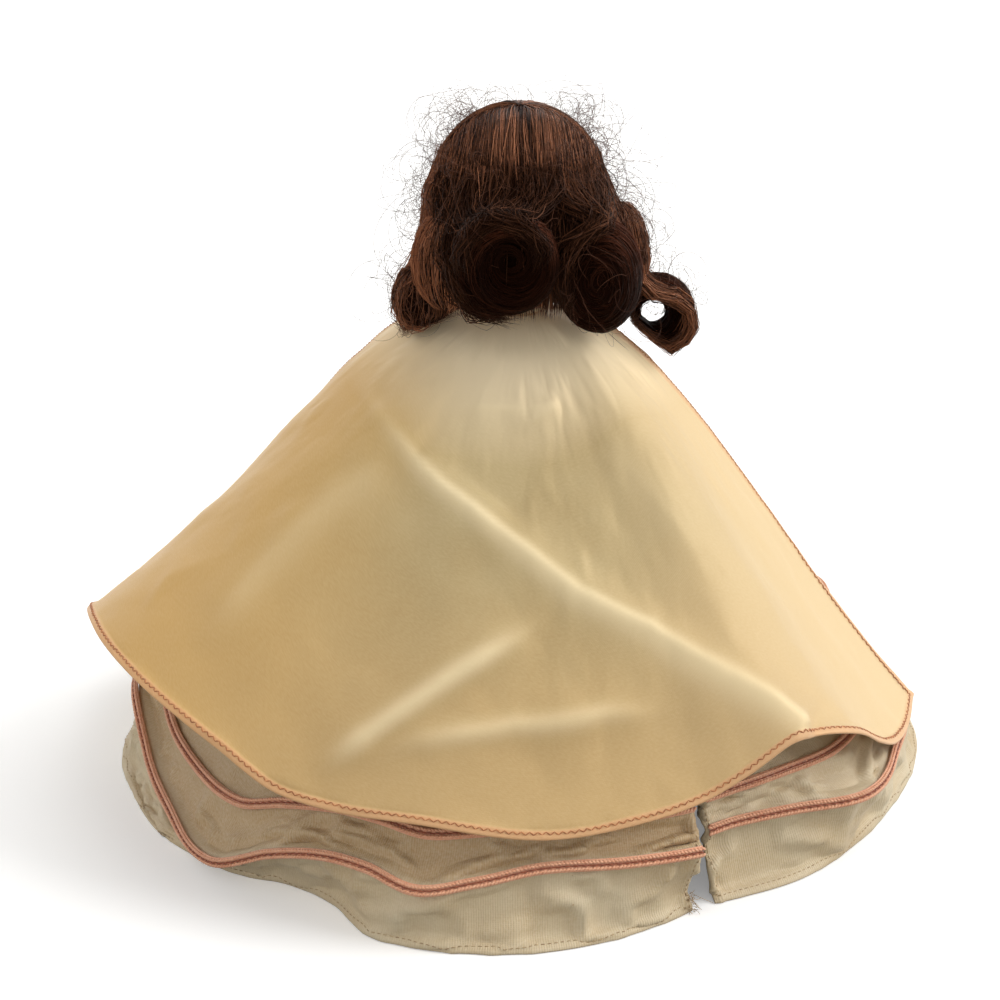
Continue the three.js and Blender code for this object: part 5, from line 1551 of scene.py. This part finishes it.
limb = {
    "armStations": [
        [0, 4.6, 4.6], [0.2, 4.5, 4.5], [0.4, 4.1, 4.0], [0.5, 3.9, 3.8], [0.6, 3.9, 3.7], [0.78, 2.9, 2.6],
        [0.86, 4.0, 2.4], [0.9, 3.9, 2.1],
    ],
    "armReach": 50, "armRoot": 15.6, "armSpread": 36, "armForward": 40, "elbow": 4,
    "armBall": (15.9, 5.75), "armBore": (12, 15.2), "armKnot": (15.1, 16.5, 2.9), "armVoxel": 0.36,
    "fingers": [(-2.75, 5.6), (-0.95, 6.6), (0.9, 6.3), (2.65, 4.9)], "legStance": 10, "footMiddle": -4.84,
    "hipBall": 8.15, "legBore": (5, 8.6), "legKnot": (8.5, 9.9, 2.9), "legVoxel": 0.48,
    "legStations": [
        [1, 3.7, 4.07, 0], [7.92, 3.7, 4.07, 0], [15.84, 4.5, 4.5, 0.5], [26.4, 5.3, 5.83, 0.6],
        [36.3, 5.19, 5.62, 0], [52.8, 6.8, 7.34, 0], [63, 6.8, 7.34, 0],
    ],
}


def fingerTube(name, start, way, bend, length, radius):
    shares, turns = np.linspace(0, 1, 12), circle(16)
    points = start + way * (length * shares)[:, None] + bend * (shares**2)[:, None]
    radii = radius * np.sqrt(np.clip(1 - ((shares - 0.15) / 0.9) ** 6, 0.04, 1))
    along = unit(np.gradient(points, axis=0))
    across = unit(np.cross(along, np.array([0.31, 0.17, 0.93])))
    rings = [
        p + a[None] * (r * np.cos(turns))[:, None] + u[None] * (r * np.sin(turns))[:, None]
        for p, a, u, r in zip(points, across, np.cross(along, across), radii)
    ]
    piece = ringMesh(name, rings)
    lift = Matrix.Translation((0, 0, body["shoulder"] * mm))
    piece.data.transform(lift @ Matrix.Rotation(-limb["armForward"] * degree, 4, "X") @ lift.inverted())
    return piece


def turnedForward(points):
    angle = -limb["armForward"] * degree
    x, y, z = points[..., 0], points[..., 1], points[..., 2] - body["shoulder"]
    turned = y * math.sin(angle) + z * math.cos(angle) + body["shoulder"]
    return np.stack([x, y * math.cos(angle) - z * math.sin(angle), turned], -1)


def makeArm(name, side):
    spread, shoulder = limb["armSpread"] * degree, body["shoulder"]
    along, across = np.array([side * math.sin(spread), 0, -math.cos(spread)]), np.array([0.0, 1.0, 0.0])
    up, turns = np.cross(along, across), circle(40)
    start = np.array([side * limb["armRoot"], 0, shoulder])

    def place(share):
        bent = limb["elbow"] * max(0, share - 0.5) * 2
        return start + along * (limb["armReach"] * share) - across * bent

    rings = []
    for share in np.linspace(0, 0.9, 60):
        wide, thick = follow(limb["armStations"], share, 1), follow(limb["armStations"], share, 2)
        ring = place(share) + across * (wide * np.cos(turns))[:, None] + up * (thick * np.sin(turns))[:, None]
        rings.append(turnedForward(ring))
    middle, radius = limb["armBall"]
    parts = [ringMesh("arm" + name, rings), ballMesh("shoulder", (side * middle, 0, shoulder), radius)]
    inward = -side * np.array([1.0, 0, 0])
    for shift, length in limb["fingers"]:
        way = along + across * shift * 0.02
        parts.append(fingerTube("finger", place(0.87) + across * shift, way, inward * 1.3, length, 1.12))
    way = unit(along - across * 0.8)
    parts.append(fingerTube("thumb", place(0.8) - across * 2.4, way, inward * 0.6, 6.2, 1.25))
    arm = merged("arm" + name, parts, limb["armVoxel"])
    cut(arm, sideRod("face", side, -60, body["shoulderFace"], 60, shoulder))
    cut(arm, sideRod("bore", side, *limb["armBore"], body["hole"], shoulder, 24))
    cut(arm, sideRod("room", side, *limb["armKnot"], shoulder, 32))
    finished(arm, "arm_" + name.lower(), "skin_plastic", "arm_" + name.lower())


def makeLeg(name, side):
    x, y, hip = side * limb["legStance"], limb["footMiddle"], body["hip"]
    bodyName = "leg_" + name.lower()
    stations = []
    for z in np.linspace(1, 63, 70):
        wide, deep, back = (float(follow(limb["legStations"], z, column)) for column in (1, 2, 3))
        stations.append((x, back, z, wide, deep))
    parts = [
        ringMesh("leg" + name, levelRings(stations, 48)), ballMesh("hip", (x, 0, hip), limb["hipBall"]),
        ballMesh("knee", (x, -3.2, 34.5), (3.1, 2.9, 3.6)), ballMesh("foot", (x, y, 1.6), (4.2, 10.0, 6.6)),
    ]
    leg = merged("leg" + name, parts, limb["legVoxel"])
    cut(leg, boxMesh("floor", (-60, -60, -20), (60, 60, 0.5)))
    cut(leg, sideRod("crotch", side, -60, body["hipFace"], 12.2, hip, 64))
    cut(leg, sideRod("bore", side, *limb["legBore"], body["hole"], hip, 24))
    cut(leg, sideRod("room", side, *limb["legKnot"], hip, 32))
    finished(leg, bodyName, "skin_plastic", bodyName)
    shoe = ballMesh("shoe" + name, (x, y, 1), (5, 11, 8.5), 72, 44, shoePaint)
    cut(shoe, ballMesh("hollow", (x, y, 1.4), (4.3, 10.2, 6.75), 64, 36))
    cut(shoe, ballMesh("mouth", (x, -1.0, 9.5), (4.4, 7.6, 4.2), 64, 36))
    cut(shoe, boxMesh("floor", (-60, -60, -20), (60, 60, 0)))
    sole = levelRings([(x, y, 0.0, 4.95, 10.95), (x, y, 0.9, 4.98, 10.98)], 72)
    cut(shoe, ringMesh("sole", sole), "UNION")
    finished(shoe, bodyName, "skin_plastic")
    turns = circle(64)
    ring = np.stack([x + 4.05 * np.cos(turns), 0.4 + 4.4 * np.sin(turns), 8.3 + 0.5 * np.cos(2 * turns)], -1)
    strap = np.stack([ring + np.array([0, 0, 0.8]), ring, ring - np.array([0, 0, 0.8])])
    band = clothSolid("strap" + name, strap[:, ::-1], 0.05, 0.4, shoePaint, True)[0]
    finished(band, bodyName, "skin_plastic")


def straight(value, column):
    table = np.array(body["stations"])
    return np.interp(value, table[:, 0], table[:, column])


def torsoRings(shrink, low, high, count, rows):
    levels = np.linspace(low, high, rows)
    return levelRings([(0, 0, z, straight(z, 1) - shrink, straight(z, 2) - shrink) for z in levels], count)


def makeTorso(name, low, high, node):
    shoulder, hip, hole = body["shoulder"], body["hip"], body["hole"]
    shell = ringMesh(name, torsoRings(0, 56, 126, 96, 141), skinPlastic)
    softened(shell, 6)
    cut(shell, boxMesh("half", low, high), "INTERSECT")
    cut(shell, ringMesh("inside", torsoRings(*body["inside"], 64, 40)))
    for side in (1, -1):
        cut(shell, sideRod("armRoom", side, *body["armRoom"], shoulder, 64))
        cut(shell, sideRod("legRoom", side, *body["legRoom"], hip, 64))
        for step, swing in enumerate((-25, 0, 22.5, 45)):  # room for the thigh as the leg swings
            near, far = sorted([side * (6.72 + 0.02 * step), side * (50 + step)])
            room = boxMesh("legSwing", (near, -8.5, -60), (far, 8.5, 0.3))
            swung = Matrix.Rotation(-swing * degree, 4, "X")
            room.data.transform(Matrix.Translation((0, 0, hip * mm)) @ swung)
            cut(shell, room)
    cut(shell, ballMesh("dish", (0, 0, body["neckMiddle"]), body["neckDish"], 64, 32))
    cut(shell, sideRod("armHole", 1, -60, 60, hole, shoulder, 20))
    cut(shell, sideRod("legHole", 1, -60, 60, hole, hip, 20))
    cut(shell, uprightRod("neckHole", 112, 127, hole, 20))
    finished(shell, "torso", "skin_plastic", node)


makeHead()
makeEyes()
print("head ready")
shoeValues = {"Roughness": 0.3, "Specular IOR Level": 0.5, "Coat Weight": 0.2}
shoePaint = plainFinish("shoePaint", srgb(240, 234, 222), srgb(226, 216, 198), 180.0, shoeValues)
for limbName, limbSide in (("Left", 1), ("Right", -1)):
    makeArm(limbName, limbSide)
    makeLeg(limbName, limbSide)
makeTorso("torsoFront", (-90, -90, 10), (90, -body["seamHalf"], 190), "torso_front")
makeTorso("torsoBack", (-90, body["seamHalf"], 10), (90, 90, 190), "torso_back")
print("body ready")

# Bodice, waistband, neckband and bow
trim = {
    "bodiceTop": 107.3, "bodiceDip": 3.2, "bodiceBottom": 90.0, "lapLift": 2.8, "lap": 9,
    "pleats": (130, 155, 205, 230), "stitch": {"Pitch": 2.0, "Lift": 0.08, "Dip": 0.25, "Radius": 0.11},
    "bandBottom": 90.3, "bandHeight": 3.4,
    "cord": {"Pitch": 0.95, "Spread": 0.82, "Length": 0.82, "Width": 0.42, "Height": 0.36},
    "neckbandRadius": 7.7, "neckbandBottom": 124.6, "neckbandHeight": 3.6, "bow": (0.0, -10.3, 126.4),
}


def onTorso(bearing, z, offset):
    turn = bearing * degree
    wide, deep = straight(z, 1), straight(z, 2)
    middle = np.stack([wide * np.sin(turn), deep * np.cos(turn), z], -1)
    out = unit(np.stack([deep * np.sin(turn), wide * np.cos(turn), np.zeros_like(turn)], -1))
    return middle + out * np.broadcast_to(offset, turn.shape)[..., None]


def makeBodice():
    bearings = np.linspace(-trim["lap"], 360 + trim["lap"], 220)
    shares = np.concatenate([np.linspace(0, 0.06, 6)[:-1], np.linspace(0.06, 1, 32)])
    bearing, share = np.meshgrid(bearings, shares)
    edge = trim["bodiceTop"] + trim["bodiceDip"] * np.exp(-(((bearing - 180) / 42) ** 2))
    z = edge + (trim["bodiceBottom"] - edge) * share
    fade = lambda middle: np.exp(-(((bearing - middle) / 4.5) ** 2))
    pleat = sum(0.28 * fade(middle) * eased((share - 0.25) / 0.5) for middle in trim["pleats"])
    grid = onTorso(bearing, z, 0.3 + trim["lapLift"] * eased((bearing - 318) / 26) + pleat)
    fold = 0.2 * eased((0.08 - share) / 0.03 + 0.5) * (1 - 0.6 * eased(1 - share / 0.012))
    piece, normals = clothSolid("bodiceTaffeta", grid, 0.02, 0.42 + fold, taffeta)
    setUv(piece, bearing * 0.24, z)
    # the bodice takes a light, even share of the painted shade
    setAttribute(piece, "paintedShade", twice(np.full(z.shape, 0.15)))
    placed(piece, "torso", "ribbed_taffeta", "bodice")
    seam = grid + normals * 0.6
    sewn = stitched("bodiceStitches", seam[7], normals[7], gownThread, trim["stitch"])
    print("bodice area", round(clothArea(grid), 5))


def makeWaistband():
    bearing, share = np.meshgrid(np.linspace(-178, 178, 320), np.linspace(0, 1, 9))
    z = trim["bandBottom"] + trim["bandHeight"] * (1 - share)
    lap = trim["lapLift"] * (1 - eased((np.abs(bearing) - trim["lap"] - 6) / 40))
    grid = onTorso(bearing, z, 1.5 + lap)
    piece, normals = clothSolid("waistbandTape", grid, 0.0, 0.35 - 0.15 * np.abs(2 * share - 1) ** 4, pink)
    placed(piece, "torso", "pink_braid", "waistband")
    cords = plaited("waistbandCords", grid[4] + normals[4] * 0.4, normals[4], trim["cord"])
    print("waistband area", round(clothArea(grid), 5))


def satinPiece(piece, across, down, *nodes):
    setUv(piece, across, down)
    for name in ("hemShare", "band", "paintedSideLight"):
        setAttribute(piece, name, twice(np.full(across.shape, 0.1)))
    return placed(piece, "torso", "cape_satin", *nodes)


def makeNeckband():
    bearing, share = np.meshgrid(np.linspace(-174, 174, 260), np.linspace(0, 1, 21))
    z = trim["neckbandBottom"] + trim["neckbandHeight"] * (1 - share)
    gather = 0.12 * np.sin(bearing * degree * 40 + 1.5 * np.sin(bearing * degree * 5)) * (0.4 + 0.6 * share)
    barrel = 0.3 * np.sin(np.pi * share)
    grid = around(bearing, trim["neckbandRadius"] + 0.1 + barrel + gather, z)
    piece = clothSolid("neckbandSatin", grid, 0.0, 0.4, satin)[0]
    satinPiece(piece, bearing * 0.13, z, "cape_neckband")
    print("neckband area", round(clothArea(grid), 5))


def ribbon(name, path, width, way, thickness):
    across = np.linspace(-0.5, 0.5, 9)
    grid = np.stack([path + np.asarray(way) * (width * a)[:, None] for a in across])
    piece = clothSolid(name, grid, -thickness / 2, thickness / 2, satin)[0]
    run = np.concatenate([[0], np.cumsum(np.linalg.norm(np.diff(path, axis=0), axis=1))])
    return satinPiece(piece, *np.meshgrid(run, across * 5)), clothArea(grid)


def makeBow():
    x0, y0, z0 = trim["bow"]
    shares = np.linspace(0, 1, 48)
    loopWidth, tailWidth = 1.9 + 2.9 * np.sin(np.pi * shares) ** 0.8, 1.8 + 1.6 * eased(shares / 0.5)
    for name, side in (("Left", 1), ("Right", -1)):
        loop = [
            (0.6 * side, y0 - 0.5, z0), (2.6 * side, y0 - 1.0, z0 + 0.4), (5.6 * side, y0 - 0.9, z0 + 0.8),
            (7.3 * side, y0 - 0.1, z0 + 0.7), (6.2 * side, y0 + 0.7, z0 + 0.4), (2.8 * side, y0 + 0.6, z0),
            (0.6 * side, y0 + 0.2, z0 - 0.1),
        ]
        ribbon("bowLoop" + name, spline(loop, shares), loopWidth, (0, 0.08, 1.0), 0.25)
        tail = [
            (0.4 * side, y0 - 0.4, z0 - 0.5), (2.4 * side, y0 - 0.5, z0 - 4.5),
            (4.6 * side, y0 - 0.9, z0 - 9.5), (6.0 * side, y0 - 1.2, z0 - 14.2),
        ]
        way = unit(np.array([1.0, 0.15 * side, 0.36 * side]))
        ribbon("bowTail" + name, spline(tail, shares), tailWidth, way, 0.22)
    s, turns = np.meshgrid(np.linspace(-1, 1, 15), circle(40), indexing="ij")
    y, z = y0 + (1.22 - 0.3 * s * s) * np.cos(turns), z0 + (1.95 - 0.35 * s * s) * np.sin(turns)
    knot = np.stack([x0 + 1.55 * s + 0.12 * np.sin(3 * turns), y, z], -1)
    piece = clothSolid("bowKnot", knot, -0.3, 0.0, satin, True)[0]
    satinPiece(piece, np.zeros(s.shape), np.zeros(s.shape), "neck_bow")


makeBodice()
makeWaistband()
makeNeckband()
makeBow()
print("trims ready")

# Carried-over CAD nodes: wire, lead, elastic, net and brackets
finishes = {
    "steelWire": (srgb(120, 122, 126), srgb(186, 188, 190), 400.0, {"Metallic": 1.0, "Roughness": 0.3}),
    "leadWeight": (srgb(72, 75, 80), srgb(112, 115, 120), 300.0, {"Metallic": 1.0, "Roughness": 0.6}),
    "elasticCord": (srgb(164, 146, 116), srgb(204, 190, 162), 500.0, {"Roughness": 0.85}),
    "wigNet": (srgb(34, 18, 13), srgb(60, 36, 26), 600.0, {"Roughness": 0.9}),
    "bracketPlastic": (srgb(222, 168, 134), srgb(236, 190, 158), 200.0, {"Roughness": 0.45}),
}
carried = {
    "steelWire": [
        "arm_hook_left", "arm_hook_right", "leg_hook_left", "leg_hook_right", "neck_hook", "eye_bar",
        "snap_stud", "snap_socket",
    ],
    "leadWeight": ["eye_weight"], "elasticCord": ["arm_elastic", "leg_elastic"], "wigNet": ["wig_cap"],
    "bracketPlastic": ["eye_bracket_left", "eye_bracket_right"],
}
for finishName, finishLooks in finishes.items():
    finish = plainFinish(finishName, *finishLooks)
    for node in carried[finishName]:
        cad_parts[node].data.materials.clear()
        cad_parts[node].data.materials.append(finish)
print("carried nodes ready")
